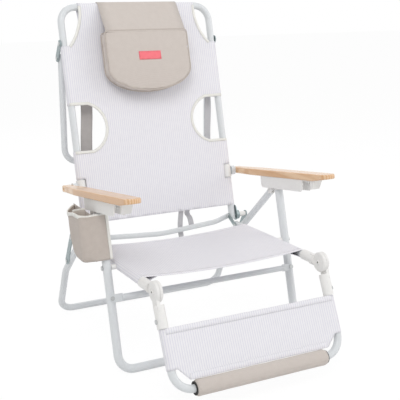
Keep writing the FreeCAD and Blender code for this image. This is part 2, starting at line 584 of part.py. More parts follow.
th = FH - P["corner_w"]
back_cloth = web(back_at, FH, P["sling_low"], top, P["back_sag"])
back_cloth = back_cloth.fuse(pin(-th, th, back_at(0, top), SL_OUT))
back_cloth = back_cloth.cut(pin(-FH, FH, back_at(0, top), SL_IN))
for sign in (-1, 1):
    corner = [back_at(sign * th, top + 30, -40), back_at(sign * (th + 2), top - P["corner_drop"], -40),
              back_at(sign * (FH - 13), P["sling_tip"], -40), back_at(sign * (FH + 40), P["sling_tip"], -40),
              back_at(sign * (FH + 40), top + 30, -40)]
    back_cloth = back_cloth.cut(through([Part.makePolygon(corner + corner[:1])]))
    along = back_at(0, 1) - back_at(0, 0)
    window = Part.makeCylinder(TUBE_R + 3.8, 47, back_at(sign * FH, P["arm_s"] - 23.5), along)
    back_cloth = back_cloth.cut(window)
    edge_x = sign * (OUT_FACE - 1)
    back_cloth = back_cloth.cut(lug(riv, 13, PROP_PIVOT, 13, edge_x, edge_x + sign * 6))
slot_mid = (P["slot_low"] + P["slot_high"]) / 2
slot_half = (P["slot_high"] - P["slot_low"]) / 2
slot_in = FH - P["slot_reach"]
for sign in (-1, 1):
    edge = sign * (FH + 40)
    start = sign * (slot_in + P["slot_nose"])
    loop = [Part.makeLine(back_at(edge, P["slot_low"], -40), back_at(start, P["slot_low"], -40)),
            Part.Arc(back_at(start, P["slot_low"], -40), back_at(sign * slot_in, slot_mid, -40),
                     back_at(start, P["slot_high"], -40)).toShape(),
            Part.makeLine(back_at(start, P["slot_high"], -40), back_at(edge, P["slot_high"], -40)),
            Part.makeLine(back_at(edge, P["slot_high"], -40), back_at(edge, P["slot_low"], -40))]
    back_cloth = back_cloth.cut(through(loop))
node("back_sling", back_cloth)

# Seat sling between the rails, and footrest sling between the sides of its frame.
def seat_place(x, s, q=0.0):
    return rail_at(x, -s, q)


seat_cloth = web(seat_place, FH, -P["seat_cloth_rear"], -P["seat_cloth_front"], P["seat_sag"])
bolt_room = pin(IN_FACE - 6, LH, SEAT_PIVOT, P["head_d"] / 2 + 1.5)
node("seat_sling", seat_cloth.cut(bolt_room).cut(both(bolt_room)))
FOOT_CLOTH_END = P["foot_len"] - P["foot_cloth_gap"]
foot_cloth = web(foot_at, FW, P["foot_cloth_top"], FOOT_CLOTH_END, P["foot_sag"])
bend_s = P["foot_len"] - P["foot_corner"] - 2
for sign in (-1, 1):
    end = FOOT_CLOTH_END + 1
    corner = [foot_at(sign * (FW + 40), bend_s, -40), foot_at(sign * (FW - 14), bend_s, -40),
              foot_at(sign * (FW - 44), end, -40), foot_at(sign * (FW + 40), end, -40)]
    cutter = Part.Face(Part.makePolygon(corner + corner[:1])).extrude(foot_at(0, 0, 80) - foot_at(0, 0))
    foot_cloth = foot_cloth.cut(cutter)
node("footrest_sling", foot_cloth)

# Padded roll on the floor end of the footrest, with dark end discs.
foot_bar = foot_at(0, P["foot_len"])
RR, RH = P["roll_d"] / 2, FH - P["roll_short"]
roll = pin(-RH, RH, foot_bar, RR)
roll = roll.makeFillet(5, [e for e in roll.Edges if e.Closed and abs(e.Length - 2 * math.pi * RR) < 1])
node("footrest_roll", roll.cut(pin(-FW, FW, foot_bar, TUBE_R + CG)))
disc = pin(RH + 0.3, RH + 2.3, foot_bar, RR - 4).cut(pin(0, FW, foot_bar, TUBE_R + 0.05))
group("roll_end_discs", [disc])

# Head pillow: a puffy D hung from a flap that goes over the top tube.
PW, PT = P["pillow_half"], top - P["pillow_drop"]
PL = PT - P["pillow_h"]
PZ = SL_OUT + 2.0


def pillow_ring(q, inset):
    """One contour of the pillow: flat top with small corners, straight sides and a half-round foot."""
    w, low, high = PW - inset, PL + P["pillow_foot"], PT - inset
    drop = P["pillow_foot"] - inset
    r = 16.0
    k = r * (1 - math.sqrt(0.5))
    angles = [math.pi * n / 8 for n in range(9)]
    foot = Part.BSplineCurve()
    foot.interpolate([back_at(w * math.cos(u), low - drop * math.sin(u), q) for u in angles])
    right = Part.Arc(back_at(w - r, high, q), back_at(w - k, high - k, q), back_at(w, high - r, q))
    left = Part.Arc(back_at(-w, high - r, q), back_at(k - w, high - k, q), back_at(r - w, high, q))
    return Part.Wire([
        Part.makeLine(back_at(r - w, high, q), back_at(w - r, high, q)), right.toShape(),
        Part.makeLine(back_at(w, high - r, q), back_at(w, low, q)), foot.toShape(),
        Part.makeLine(back_at(-w, low, q), back_at(-w, high - r, q)), left.toShape()])


depth = P["pillow_deep"]
crown = [(0.0, 10.0), (0.15, 2.0), (0.5, 0.0), (0.85, 3.0), (1.0, 16.0)]
rings = [pillow_ring(PZ + depth * share, inset) for share, inset in crown]
pillow = Part.makeLoft(rings, True, False)
node("head_pillow", pillow)

# Pillow flap: from the pillow's front top edge back to the top tube, over it and down behind.
FI = SL_OUT + CG
FO = FI + 2.0
fh = P["flap_half"]
hem_s, hem_q = PT - 10 - top, PZ + 0.88 * depth
touch = math.atan2(hem_q, hem_s) - math.acos(FI / math.hypot(hem_s, hem_q))
lift = (math.cos(touch), math.sin(touch))


def flap_side(r, skin):
    """One face of the flap in side view: hem, touch on the tube, crest, rear of the tube and rear edge."""
    hem = back_at(-fh, top + hem_s + skin * lift[0], hem_q + skin * lift[1])
    on = back_at(-fh, top + r * lift[0], r * lift[1])
    return hem, on, back_at(-fh, top + r), back_at(-fh, top, -r), back_at(-fh, top - P["flap_fall"], -r)


def flap_run(face):
    hem, on, crest, rear, end = face
    return [Part.makeLine(hem, on), Part.Arc(on, crest, rear).toShape(), Part.makeLine(rear, end)]


inner_face, outer_face = flap_side(FI, 0.0), flap_side(FO, FO - FI)
flap_edges = flap_run(inner_face) + [Part.makeLine(inner_face[4], outer_face[4])]
flap_edges += flap_run(outer_face)[::-1] + [Part.makeLine(outer_face[0], inner_face[0])]
flap = Part.Face(Part.Wire(Part.__sortEdges__(flap_edges))).extrude(V(2 * fh, 0, 0))
node("pillow_flap", flap.cut(pillow))

# Plain patch sewn on the front of the pillow.
LABEL_Q = PZ + depth + CG
label_low, label_high = PT - 99.0, PT - 72.0
label = slab([back_at(0, label_low, LABEL_Q), back_at(0, label_high, LABEL_Q),
              back_at(0, label_high, LABEL_Q + 1.2), back_at(0, label_low, LABEL_Q + 1.2)], -38, 38)
node("pillow_label", label)


# Carry straps behind the back: slack bands from the yoke to the crossbar, the right one ending in webbing.
def band(stations, thick):
    """Flat band through stations of middle x, width, s and q, each a rectangle square to the back."""
    rings = []
    for x, w, s, q in stations:
        ring = [back_at(x - w / 2, s, q - thick / 2), back_at(x + w / 2, s, q - thick / 2),
                back_at(x + w / 2, s, q + thick / 2), back_at(x - w / 2, s, q + thick / 2)]
        rings.append(Part.makePolygon(ring + ring[:1]))
    return Part.makeLoft(rings, True, True)


strap_out = FH - P["strap_edge"]
strap_in = strap_out - P["strap_w"]
sewn_q = SL_IN - P["back_sag"] * (1 - (strap_in / FH) ** 2) - CG - P["strap_t"] / 2
bar_back = bar_q - 2 - BAR_R - CG - P["strap_t"] / 2


def strap_upper(middles, widths, slack):
    """Stations of a strap from the yoke, where it is sewn to the cloth, down to the slack behind the slot."""
    line = [(620, sewn_q), (590, sewn_q - 1), (540, sewn_q - 7), (470, -0.6 * slack), (390, -0.9 * slack),
            (300, -slack), (190, -slack)]
    return [(x, w, s, q) for x, w, (s, q) in zip(middles, widths, line)]


strap_x = (strap_in + strap_out) / 2
wide, narrow = P["strap_w"], P["web_w"]
left_run = [-strap_x - drift for drift in (0, 0, 0, -3, -2, 9, 20)]
left_end = [(-strap_x - 22, wide, s, q) for s, q in ((100, -34.0), (20, bar_back), (-22, bar_back))]
right_run = [strap_x + drift for drift in (0, 0, 9, 30, 33, 21, 5)]
right_wide = [wide, wide, wide - 5] + [narrow + 3] * 4
right_end = [(strap_x - 6, narrow, 150, -32.0), (P["web_x"] - 6, narrow, 36, bar_back),
             (P["web_x"], narrow, 10, bar_back), (P["web_x"], narrow, -28, bar_back)]
node("strap_left", band(strap_upper(left_run, [wide] * 7, 36) + left_end, P["strap_t"]))
node("strap_right", band(strap_upper(right_run, right_wide, 33) + right_end, P["strap_t"]))

# Side pouch beside the left legs: an upright panel strapped to the front leg, with two open pockets.
PX, PO = LH + P["pouch_step"], P["pouch_out"]
PANEL_T, SKIN = 2.0, P["pouch_wall"]


def pouch_at(x, y, z):
    return V(x, P["pouch_y"] + y, P["pouch_z"] + z)


def cell_block(y0, y1, out, gap, z_low, z_high):
    """Block with a bowed outer side, shrunk by gap on all upright sides."""
    a, b = y0 + gap, y1 - gap
    x_in = -PX - PANEL_T - gap
    x_out = -PX - PANEL_T - out + gap
    mid = (y0 + y1) / 2
    pts = [pouch_at(x_in, a, z_low), pouch_at(x_out + 10, a + 2, z_low), pouch_at(x_out, mid, z_low),
           pouch_at(x_out + 10, b - 2, z_low), pouch_at(x_in, b, z_low)]
    wire = Part.Wire([Part.makeLine(pts[0], pts[1]), Part.Arc(pts[1], pts[2], pts[3]).toShape(),
                      Part.makeLine(pts[3], pts[4]), Part.makeLine(pts[4], pts[0])])
    return Part.Face(wire).extrude(V(0, 0, z_high - z_low))


def cell(y0, y1, z0, z1, out):
    return cell_block(y0, y1, out, 0, z0, z1).cut(cell_block(y0, y1, out, SKIN, z0 + SKIN, z1 + 5))


HC, FC, RC, RISE = P["pouch_h"], P["front_cell"], P["rear_cell"], P["pouch_rise"]
panel_pts = [pouch_at(0, 0, 0), pouch_at(0, FC + RC, RISE), pouch_at(0, FC + RC, HC + RISE + 4),
             pouch_at(0, FC, HC + RISE + 10), pouch_at(0, 0, HC + 8)]
pouch_panel = slab(panel_pts, -PX - PANEL_T, -PX)
front_cell = cell(0, FC, 0, HC, PO)
rear_cell = cell(FC + 1, FC + 1 + RC, RISE, RISE + HC, PO - 4)
wrap_low, wrap_high = P["pouch_z"] + 4, P["pouch_z"] + HC - 6
wrap_long = (leg_at(0, wrap_high) - leg_at(0, wrap_low)).Length
wrap = Part.makeCylinder(LEG_R + CG + SKIN, wrap_long, leg_at(-LH, wrap_low), LEG_RUN)


def leg_strip(q0, q1, z0, z1, x0, x1):
    return slab([leg_at(0, z0, q0), leg_at(0, z0, q1), leg_at(0, z1, q1), leg_at(0, z1, q0)], x0, x1)


bridge = leg_strip(-8, 8, wrap_low, wrap_high, -PX - 1, -LH - LEG_R + 1)
rear_half = leg_strip(-40, -3, wrap_low - 30, wrap_high + 30, -LH - LEG_R + 0.5, -LH + 30)
pouch = join([pouch_panel, front_cell, rear_cell, bridge, wrap.cut(rear_half)])
leg_room = Part.makeCylinder(LEG_R + CG, wrap_long + 40, leg_at(-LH, wrap_low - 20), LEG_RUN)
bolt_head_room = pin(-LH - 40, -LH + 40, SEAT_PIVOT, P["head_d"] / 2 + 1.5)
node("side_pouch", pouch.cut(leg_room).cut(bolt_head_room))

# Write one file per sub-part.
doc.recompute()
os.makedirs("parts", exist_ok=True)
for obj in NODES:
    if "Invalid" in obj.State or "Error" in obj.State:
        raise RuntimeError(obj.Label + " did not compute")
    shape = obj.Shape
    if shape.isNull() or not shape.isValid():
        raise RuntimeError(obj.Label + " has no valid shape")
    shape.exportStep("parts/" + obj.Label + ".step")
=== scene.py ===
import json
import math

import bmesh
import bpy
import numpy as np
from mathutils import Matrix, Vector, noise
from mathutils.bvhtree import BVHTree
from mathutils.geometry import delaunay_2d_cdt


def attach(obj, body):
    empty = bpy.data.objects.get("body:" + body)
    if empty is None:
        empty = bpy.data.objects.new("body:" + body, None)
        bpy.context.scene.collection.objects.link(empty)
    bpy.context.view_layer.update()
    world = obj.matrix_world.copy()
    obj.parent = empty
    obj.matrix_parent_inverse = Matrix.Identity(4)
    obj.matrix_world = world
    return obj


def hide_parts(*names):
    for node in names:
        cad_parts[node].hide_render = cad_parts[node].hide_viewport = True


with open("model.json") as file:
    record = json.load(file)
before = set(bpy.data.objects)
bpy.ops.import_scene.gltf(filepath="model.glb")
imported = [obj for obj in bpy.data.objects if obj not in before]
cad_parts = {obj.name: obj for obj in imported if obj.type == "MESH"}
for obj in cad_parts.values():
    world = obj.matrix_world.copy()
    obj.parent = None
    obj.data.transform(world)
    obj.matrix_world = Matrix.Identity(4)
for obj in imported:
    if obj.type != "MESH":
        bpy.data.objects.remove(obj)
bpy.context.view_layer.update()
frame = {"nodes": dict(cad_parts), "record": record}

# Studio: a pale floor that runs out to white, broad soft lamps and a camera at the photograph's angle.
# The floor keeps the chair's shadow, and the background is white only where it is looked at directly.
CAMERA_AT, CAMERA_AIM, CAMERA_LENS = (-1.0988, -2.2957, 1.0731), (0.1747, 0.1544, 0.3623), 75.0
SKY_LIGHT = 0.6
FLOOR_REACH, FLOOR_TONE, FLOOR_GLOW, FLOOR_SHARE = 14.0, 0.9, 1.03, 0.9
WHITE = (1.0, 1.0, 1.0, 1.0)
scene = bpy.context.scene
scene.view_settings.view_transform = "Standard"


def stand(name, data, at=(0.0, 0.0, 0.0), aim=None):
    """Puts an object into the scene, facing a point if one is given."""
    made = bpy.data.objects.new(name, data)
    made.location = at
    if aim:
        made.rotation_euler = (Vector(aim) - Vector(at)).to_track_quat("-Z", "Y").to_euler()
    scene.collection.objects.link(made)
    return made


def put(tree, kind, **values):
    """Adds a shader node: capitals name inputs, underscores number them, the rest are options."""
    made = tree.nodes.new("ShaderNode" + kind)
    for key, value in values.items():
        if key[0] == "_":
            made.inputs[int(key[1:])].default_value = value
        elif key[0].isupper():
            made.inputs[key.replace("_", " ")].default_value = value
        else:
            setattr(made, key, value)
    return made


def reckon(tree, operation, **values):
    """Adds a node that does one sum."""
    return put(tree, "Math", operation=operation, **values)


def wire(tree, *runs):
    """Joins nodes: each run is a node, its output, the next node and its input."""
    for source, gives, target, takes in runs:
        tree.links.new(source.outputs[gives], target.inputs[takes])


def camera_sight(tree):
    """A node: 1 for what the camera sees straight, mirrored or through glass, 0 for bounced light."""
    ray = put(tree, "LightPath")
    gloss = reckon(tree, "MAXIMUM")
    glass = reckon(tree, "MAXIMUM")
    wire(tree, (ray, "Is Camera Ray", gloss, 0), (ray, "Is Glossy Ray", gloss, 1), (gloss, 0, glass, 0),
         (ray, "Is Transmission Ray", glass, 1))
    return glass


camera_data = bpy.data.cameras.new("camera")
camera_data.lens = CAMERA_LENS
scene.camera = stand("camera", camera_data, CAMERA_AT, CAMERA_AIM)

scene.world = bpy.data.worlds.new("studio")
scene.world.use_nodes = True
sky = scene.world.node_tree
sky_back = sky.nodes["Background"]
sky_back.inputs["Color"].default_value = WHITE
sky_level = put(sky, "MapRange", To_Min=SKY_LIGHT, To_Max=1.0)
wire(sky, (camera_sight(sky), 0, sky_level, "Value"), (sky_level, 0, sky_back, "Strength"))

floor_mesh = bpy.data.meshes.new("floor")
floor_edge = [(-1, -1), (1, -1), (1, 1), (-1, 1)]
floor_mesh.from_pydata([(x * FLOOR_REACH, y * FLOOR_REACH, 0.0) for x, y in floor_edge], [], [(0, 1, 2, 3)])
floor_paint = bpy.data.materials.new("floor_paint")
floor_paint.use_nodes = True
floor_tree = floor_paint.node_tree
floor_tree.nodes.remove(floor_tree.nodes["Principled BSDF"])
floor_matt = put(floor_tree, "BsdfDiffuse", Color=(FLOOR_TONE, FLOOR_TONE, FLOOR_TONE, 1.0))
floor_glow = put(floor_tree, "Emission", Color=WHITE, Strength=FLOOR_GLOW)
floor_mix = put(floor_tree, "MixShader")
floor_share = put(floor_tree, "MapRange", To_Min=0.0, To_Max=FLOOR_SHARE)
wire(floor_tree, (camera_sight(floor_tree), 0, floor_share, "Value"), (floor_share, 0, floor_mix, 0),
     (floor_matt, 0, floor_mix, 1), (floor_glow, 0, floor_mix, 2),
     (floor_mix, 0, floor_tree.nodes["Material Output"], "Surface"))
floor_mesh.materials.append(floor_paint)
stand("floor", floor_mesh)

for name, at, aim, size, watts in (("key_lamp", (-1.5, -2.2, 3.4), (0.0, 0.0, 0.5), 2.2, 48.0),
                                   ("fill_lamp", (2.8, -1.6, 1.9), (0.0, 0.0, 0.45), 2.4, 26.0),
                                   ("back_lamp", (0.6, 2.8, 2.6), (0.0, 0.1, 0.5), 2.2, 22.0)):
    lamp_data = bpy.data.lights.new(name, "AREA")
    lamp_data.shape = "DISK"
    lamp_data.size = size
    lamp_data.energy = watts
    stand(name, lamp_data, at, aim)

# White tube frame: legs, seat rails, back hoop, crossbar, rear prop, footrest hoop and brace.
# Thin-wall tube, bent cold and powder-coated in a soft gloss, with faint orange peel and a few scuffs.
HARD_RELIEF = 0.35


def colour(code):
    """Six hex digits as the shader's linear red, green, blue and alpha."""
    parts = [int(code[k:k + 2], 16) / 255.0 for k in (0, 2, 4)]
    return tuple(c / 12.92 if c <= 0.04045 else ((c + 0.055) / 1.055) ** 2.4 for c in parts) + (1.0,)


def effect(name, takes, gives):
    """A shader node group with named sockets: its tree, its input node and its output node."""
    group = bpy.data.node_groups.new(name, "ShaderNodeTree")
    for label, kind, start in takes:
        socket = group.interface.new_socket(label, in_out="INPUT", socket_type="NodeSocket" + kind)
        if start is not None:
            socket.default_value = start
    for label, kind in gives:
        group.interface.new_socket(label, in_out="OUTPUT", socket_type="NodeSocket" + kind)
    return group, group.nodes.new("NodeGroupInput"), group.nodes.new("NodeGroupOutput")


def finish_paint(name, roughness, metallic=0.0, coat=0.0, sheen=0.0):
    """A material with one Principled shader: the material, its tree and the shader."""
    made = bpy.data.materials.new(name)
    made.use_nodes = True
    shader = made.node_tree.nodes["Principled BSDF"]
    for socket, value in (("Roughness", roughness), ("Metallic", metallic), ("Coat Weight", coat),
                          ("Sheen Weight", sheen)):
        shader.inputs[socket].default_value = value
    return made, made.node_tree, shader


def raise_bump(tree, shader, source, gives, distance, strength):
    """Puts a node's height into a shader as relief."""
    bump = put(tree, "Bump", Distance=distance, Strength=strength)
    wire(tree, (source, gives, bump, "Height"), (bump, 0, shader, "Normal"))


handling, marks_in, marks_out = effect(
    "handling_marks",
    [("Vector", "Vector", None), ("Clean", "Color", (1, 1, 1, 1)), ("Worn", "Color", (0.5, 0.5, 0.5, 1)),
     ("Size", "Float", 40.0), ("Amount", "Float", 0.3), ("Gloss", "Float", 0.4), ("Dulling", "Float", 0.15)],
    [("Colour", "Color"), ("Roughness", "Float"), ("Height", "Float")])
cloudy = put(handling, "TexNoise", Detail=5.0, Roughness=0.6)
scuffs = put(handling, "TexNoise", Detail=2.0, Roughness=0.5)
scuff_size = reckon(handling, "MULTIPLY", _1=4.3)
scuff_mask = put(handling, "MapRange", From_Min=0.6, From_Max=0.78)
cloud_mask = put(handling, "MapRange", From_Min=0.3, From_Max=0.75)
both_masks = reckon(handling, "MULTIPLY_ADD", _1=0.5)
wear_share = reckon(handling, "MULTIPLY", use_clamp=True)
wear_mix = put(handling, "Mix", data_type="RGBA")
dull = reckon(handling, "MULTIPLY_ADD")
wire(handling, (marks_in, "Vector", cloudy, "Vector"), (marks_in, "Vector", scuffs, "Vector"),
     (marks_in, "Size", cloudy, "Scale"), (marks_in, "Size", scuff_size, 0), (scuff_size, 0, scuffs, "Scale"),
     (cloudy, "Fac", cloud_mask, "Value"), (scuffs, "Fac", scuff_mask, "Value"),
     (cloud_mask, 0, both_masks, 0), (scuff_mask, 0, both_masks, 2), (both_masks, 0, wear_share, 0),
     (marks_in, "Amount", wear_share, 1), (wear_share, 0, wear_mix, "Factor"),
     (marks_in, "Clean", wear_mix, "A"), (marks_in, "Worn", wear_mix, "B"), (wear_share, 0, dull, 0),
     (marks_in, "Dulling", dull, 1), (marks_in, "Gloss", dull, 2), (wear_mix, "Result", marks_out, "Colour"),
     (dull, 0, marks_out, "Roughness"), (scuffs, "Fac", marks_out, "Height"))


def handled_paint(name, clean, worn, size, amount, gloss, dulling, bump, metallic=0.0, coat=0.0):
    """A hard finish whose colour and gloss shift a little where hands and sand have been."""
    made, tree, shader = finish_paint(name, gloss, metallic, coat)
    spot = put(tree, "TexCoord")
    marks = put(tree, "Group", node_tree=handling, Clean=colour(clean), Worn=colour(worn), Size=size,
                Amount=amount, Gloss=gloss, Dulling=dulling)
    wire(tree, (spot, "Object", marks, "Vector"), (marks, "Colour", shader, "Base Color"),
         (marks, "Roughness", shader, "Roughness"))
    raise_bump(tree, shader, marks, "Height", bump, HARD_RELIEF)
    return made


def dress(names, paint):
    """Gives CAD nodes a finish."""
    for name in names:
        data = frame["nodes"][name].data
        data.materials.clear()
        data.materials.append(paint)


def sides(*names):
    """The left and right nodes of each name."""
    return [name + side for name in names for side in ("_left", "_right")]


white_coat = handled_paint("white_powder_coat", "DEE1E3", "C8CCCE", 55.0, 0.3, 0.32, 0.2, 0.0003, coat=0.15)
dress(["front_leg", "rear_leg", "back_frame", "rear_prop", "footrest_frame", "leg_brace", "back_crossbar"],
      white_coat)
dress(sides("seat_rail", "arm_pivot"), white_coat)

# White moulded fittings: arm collars, leg caps, arm tracks, forks, spacers and the footrest knuckles.
# Injection-moulded nylon with a fine spark texture, pressed or riveted onto the tube.
nylon = handled_paint("white_moulded_nylon", "EFEEEC", "D9D7D3", 120.0, 0.3, 0.46, 0.15, 0.0004)
dress(sides("arm_collar", "leg_cap", "rear_fork", "arm_track", "ratchet_upper", "ratchet_lower"), nylon)
dress(["hinge_spacers", "seat_spacers"], nylon)

# Steel hinge plates and links, and the bolts and rivets through them.
# Pressed plate with a dull green-grey zinc finish; the fasteners are brighter and turned.
zinc = handled_paint("zinc_plate", "A3AFB1", "7C898C", 90.0, 0.5, 0.38, 0.2, 0.0003, metallic=0.7)
bright = handled_paint("bright_fastener", "C9CBCB", "8F9495", 160.0, 0.5, 0.28, 0.2, 0.0002, metallic=1.0)
dress(sides("fold_plate", "prop_plate", "rear_link", "seat_plate") + ["fold_hubs"], zinc)
dress(["hinge_bolts", "seat_pivot_bolts", "brace_rivets", "footrest_rivets", "link_rivets", "prop_rivets",
       "rear_rivets", "seat_rivets", "track_screws"], bright)

# Wooden arms: planed hardwood boards with eased edges, oiled and lacquered.
# The grain runs along the arm, with darker pores and a slow change of tone; faces turned to the rear are
# darkened, partly as end grain and partly as painted shade.
ARM_TILT = math.radians(8.3)
GRAIN_STRETCH = (1.0, 0.06, 1.0)
GRAIN_SWAY = (0.012, 0.012, 0.012)
REARWARD = (0.0, 1.0, 0.0)


def tint(tree, shader, under, mask, tone):
    """Multiplies the colour under a shader by a tone where a mask is 1."""
    mix = put(tree, "Mix", data_type="RGBA", blend_type="MULTIPLY", B=colour(tone))
    wire(tree, (mask, 0, mix, "Factor"), (under, "Result", mix, "A"), (mix, "Result", shader, "Base Color"))


arm_wood, wood_tree, wood_shader = finish_paint("lacquered_arm_wood", 0.42, coat=0.6)
wood_spot = put(wood_tree, "TexCoord")
grain = put(wood_tree, "Mapping", Rotation=(ARM_TILT, 0.0, 0.0), Scale=GRAIN_STRETCH)
sway = put(wood_tree, "TexNoise", Scale=18.0, Detail=3.0)
swayed = put(wood_tree, "VectorMath", operation="MULTIPLY_ADD", _1=GRAIN_SWAY)
rings = put(wood_tree, "TexWave", wave_type="BANDS", bands_direction="X", Scale=48.0, Distortion=2.2,
                 Detail=3.0)
pores = put(wood_tree, "TexNoise", Scale=420.0, Detail=4.0, Roughness=0.65)
wood_tone = put(wood_tree, "ValToRGB")
for stop, place, tone in zip(wood_tone.color_ramp.elements, (0.15, 0.85), ("D8AA7C", "EAC69F")):
    stop.position = place
    stop.color = colour(tone)
pore_mask = put(wood_tree, "MapRange", From_Min=0.58, From_Max=0.72, To_Max=0.35)
pored = put(wood_tree, "Mix", data_type="RGBA", blend_type="MULTIPLY", B=colour("C49A74"))
# Faces turned to the rear get a darker tone: end grain, and painted shade on the end that turns away from the
# lamps.
facing = put(wood_tree, "VectorMath", operation="DOT_PRODUCT", _1=REARWARD)
end_grain_and_shade = put(wood_tree, "MapRange", From_Min=0.75, From_Max=1.0, To_Max=0.8)
wire(wood_tree, (wood_spot, "Object", grain, "Vector"), (grain, 0, sway, "Vector"),
     (sway, "Color", swayed, 0), (grain, 0, swayed, 2), (swayed, 0, rings, "Vector"),
     (grain, 0, pores, "Vector"), (rings, "Fac", wood_tone, "Fac"), (pores, "Fac", pore_mask, "Value"),
     (pore_mask, 0, pored, "Factor"), (wood_tone, 0, pored, "A"), (wood_spot, "Normal", facing, 0),
     (facing, "Value", end_grain_and_shade, "Value"))
tint(wood_tree, wood_shader, pored, end_grain_and_shade, "9C8672")
raise_bump(wood_tree, wood_shader, pores, "Fac", 0.0004, 0.3)
dress(sides("armrest"), arm_wood)

# Back sling: one length of pin-striped cloth with a sewn sleeve on each upright and over the top tube.
# It is cut away at the corners, arm slots and arm collars, and the cut edges are bound in ivory tape.
MM = 0.001
pivot = {joint["name"]: joint["pos_m"] for joint in frame["record"]["behaviour"]["joints"]}
BACK_LEAN, BACK_TOP, FRAME_HALF = math.radians(15.06), 715.6 * MM, 260.0 * MM
SLEEVE_R, SLEEVE_TUCK, SEAM_DROP = 12.05 * MM, 45.0 * MM, 1.6 * MM
BACK_SAG, SAG_FADE, CALM_EDGE = 14.0 * MM, (560.0 * MM, 706.0 * MM), 60.0 * MM
CLOTH_T, NET_GAP, STITCH_PITCH, THREAD = 1.2 * MM, 8.0 * MM, 4.5 * MM, 0.45 * MM
SLOT_LOW, SLOT_HIGH, SLOT_START, SLOT_NOSE = 262.0 * MM, 407.0 * MM, 209.0 * MM, 155.0 * MM
COLLAR_LOW, COLLAR_HIGH, COLLAR_EDGE = 128.5 * MM, 175.5 * MM, 246.0 * MM
SLING_LOW, SLING_TIP, TOP_HALF, TIP_EDGE = 36.0 * MM, 592.0 * MM, 203.0 * MM, 247.0 * MM
CORNER_AIM, CORNER_TOP = (212.0 * MM, 630.0 * MM), 690.0 * MM
BINDING_W, BINDING_LIFT, BINDING_T = 8.0 * MM, 1.3 * MM, 0.8 * MM
STRIPE_PITCH, STRIPE_WIDTH = 7.0 * MM, 0.34


def member(origin, aim, face):
    """Places a point from its x, its distance along a member and its distance out from the axis."""
    start, along, outward = Vector(origin), Vector(aim), Vector(face)

    def at(x, s, out=0.0):
        return start + along * s + outward * out + Vector((x, 0.0, 0.0))
    return at


back_at = member(pivot["recline"], (0, math.sin(BACK_LEAN), math.cos(BACK_LEAN)),
                 (0, -math.cos(BACK_LEAN), math.sin(BACK_LEAN)))


def ease(value, low, high):
    """0 below low, 1 above high and smooth between."""
    t = min(max((value - low) / (high - low), 0.0), 1.0)
    return t * t * (3.0 - 2.0 * t)


def sleeved(at, half, sag, ripple):
    """Where flat cloth goes on two tubes: over the gap with some sag, round each and back to a seam."""
    tuck_len = math.hypot(SLEEVE_TUCK, 2 * SLEEVE_R)

    def lay(u, s):
        side = math.copysign(1.0, u)
        over = abs(u) - half
        if over <= 0:
            fold = ripple * noise.noise(Vector((u * 9.0, s * 5.0, half * 40.0)))
            fold *= ease(half - abs(u), 0.0, CALM_EDGE)
            return at(u, s, SLEEVE_R - sag(s) * (1 - (u / half) ** 2) + fold)
        angle = over / SLEEVE_R
        if angle <= math.pi:
            return at(side * (half + SLEEVE_R * math.sin(angle)), s, SLEEVE_R * math.cos(angle))
        run = (over - math.pi * SLEEVE_R) / tuck_len
        seam_x = half - SLEEVE_TUCK
        seam_level = SLEEVE_R - SEAM_DROP - sag(s) * (1 - (seam_x / half) ** 2)
        return at(side * (half - SLEEVE_TUCK * run), s, -SLEEVE_R + (seam_level + SLEEVE_R) * run)
    return lay


def sleeve_reach(half):
    """Half-width of cloth cut for a sling with a sleeve on each side."""
    return half + math.pi * SLEEVE_R + math.hypot(SLEEVE_TUCK, 2 * SLEEVE_R)


def sleeve_seam(half):
    """Where the stitches that close a sleeve run, from the middle of the sling."""
    return half - SLEEVE_TUCK + 2 * MM


def bend(a, b, c, count):
    """Points of a curve from a to c that heads for b on the way."""
    a, b, c = Vector(a), Vector(b), Vector(c)
    steps = [k / count for k in range(count + 1)]
    return [a * (1 - t) ** 2 + b * 2 * t * (1 - t) + c * t * t for t in steps]


def spaced(points, gap, closed=False):
    """The same line with points at about an even gap, keeping its corners."""
    line = [Vector(p) for p in points]
    if closed:
        line = line + [line[0]]
    made = []
    for a, b in zip(line, line[1:]):
        count = max(1, round((b - a).length / gap))
        made += [a.lerp(b, k / count) for k in range(count)]
    return made if closed else made + [line[-1]]


def headings(line):
    """Each point of a line with the way that the line runs there."""
    last = len(line) - 1
    return [(p, (line[min(k + 1, last)] - line[max(k - 1, 0)]).normalized()) for k, p in enumerate(line)]


def both_halves(side):
    """A flat outline from its right half."""
    return side + [(-u, s) for u, s in reversed(side)]


def flat_area(outline):
    """Area inside a flat outline."""
    pairs = zip(outline, list(outline[1:]) + list(outline[:1]))
    return abs(sum(a[0] * b[1] - b[0] * a[1] for a, b in pairs)) / 2


def settle(piece, paint, body, slot, nodes=(), thick=0.0):
    """Gives a piece its finish and body, hides the CAD nodes that it stands for and adds its thickness; slot
    is not used.
    """
    piece.data.materials.clear()
    piece.data.materials.append(paint)
    if piece.type == "MESH":
        piece.data.shade_smooth()
    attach(piece, body)
    if nodes:
        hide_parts(*nodes)
    if thick:
        layer = piece.modifiers.new("thickness", "SOLIDIFY")
        layer.thickness = thick
        layer.offset = 0.0
    return piece


def show(name, data, *finish):
    """Puts a finished mesh or curve into the scene under its name and settles it."""
    data.name = name
    return settle(stand(name, data), *finish)


def mark_cut(mesh, flat):
    """Keeps where each point, by its number, lay on the flat cloth, for the weave."""
    cut = mesh.uv_layers.new(name="cut")
    for loop in mesh.loops:
        cut.data[loop.index].uv = flat(loop.vertex_index)


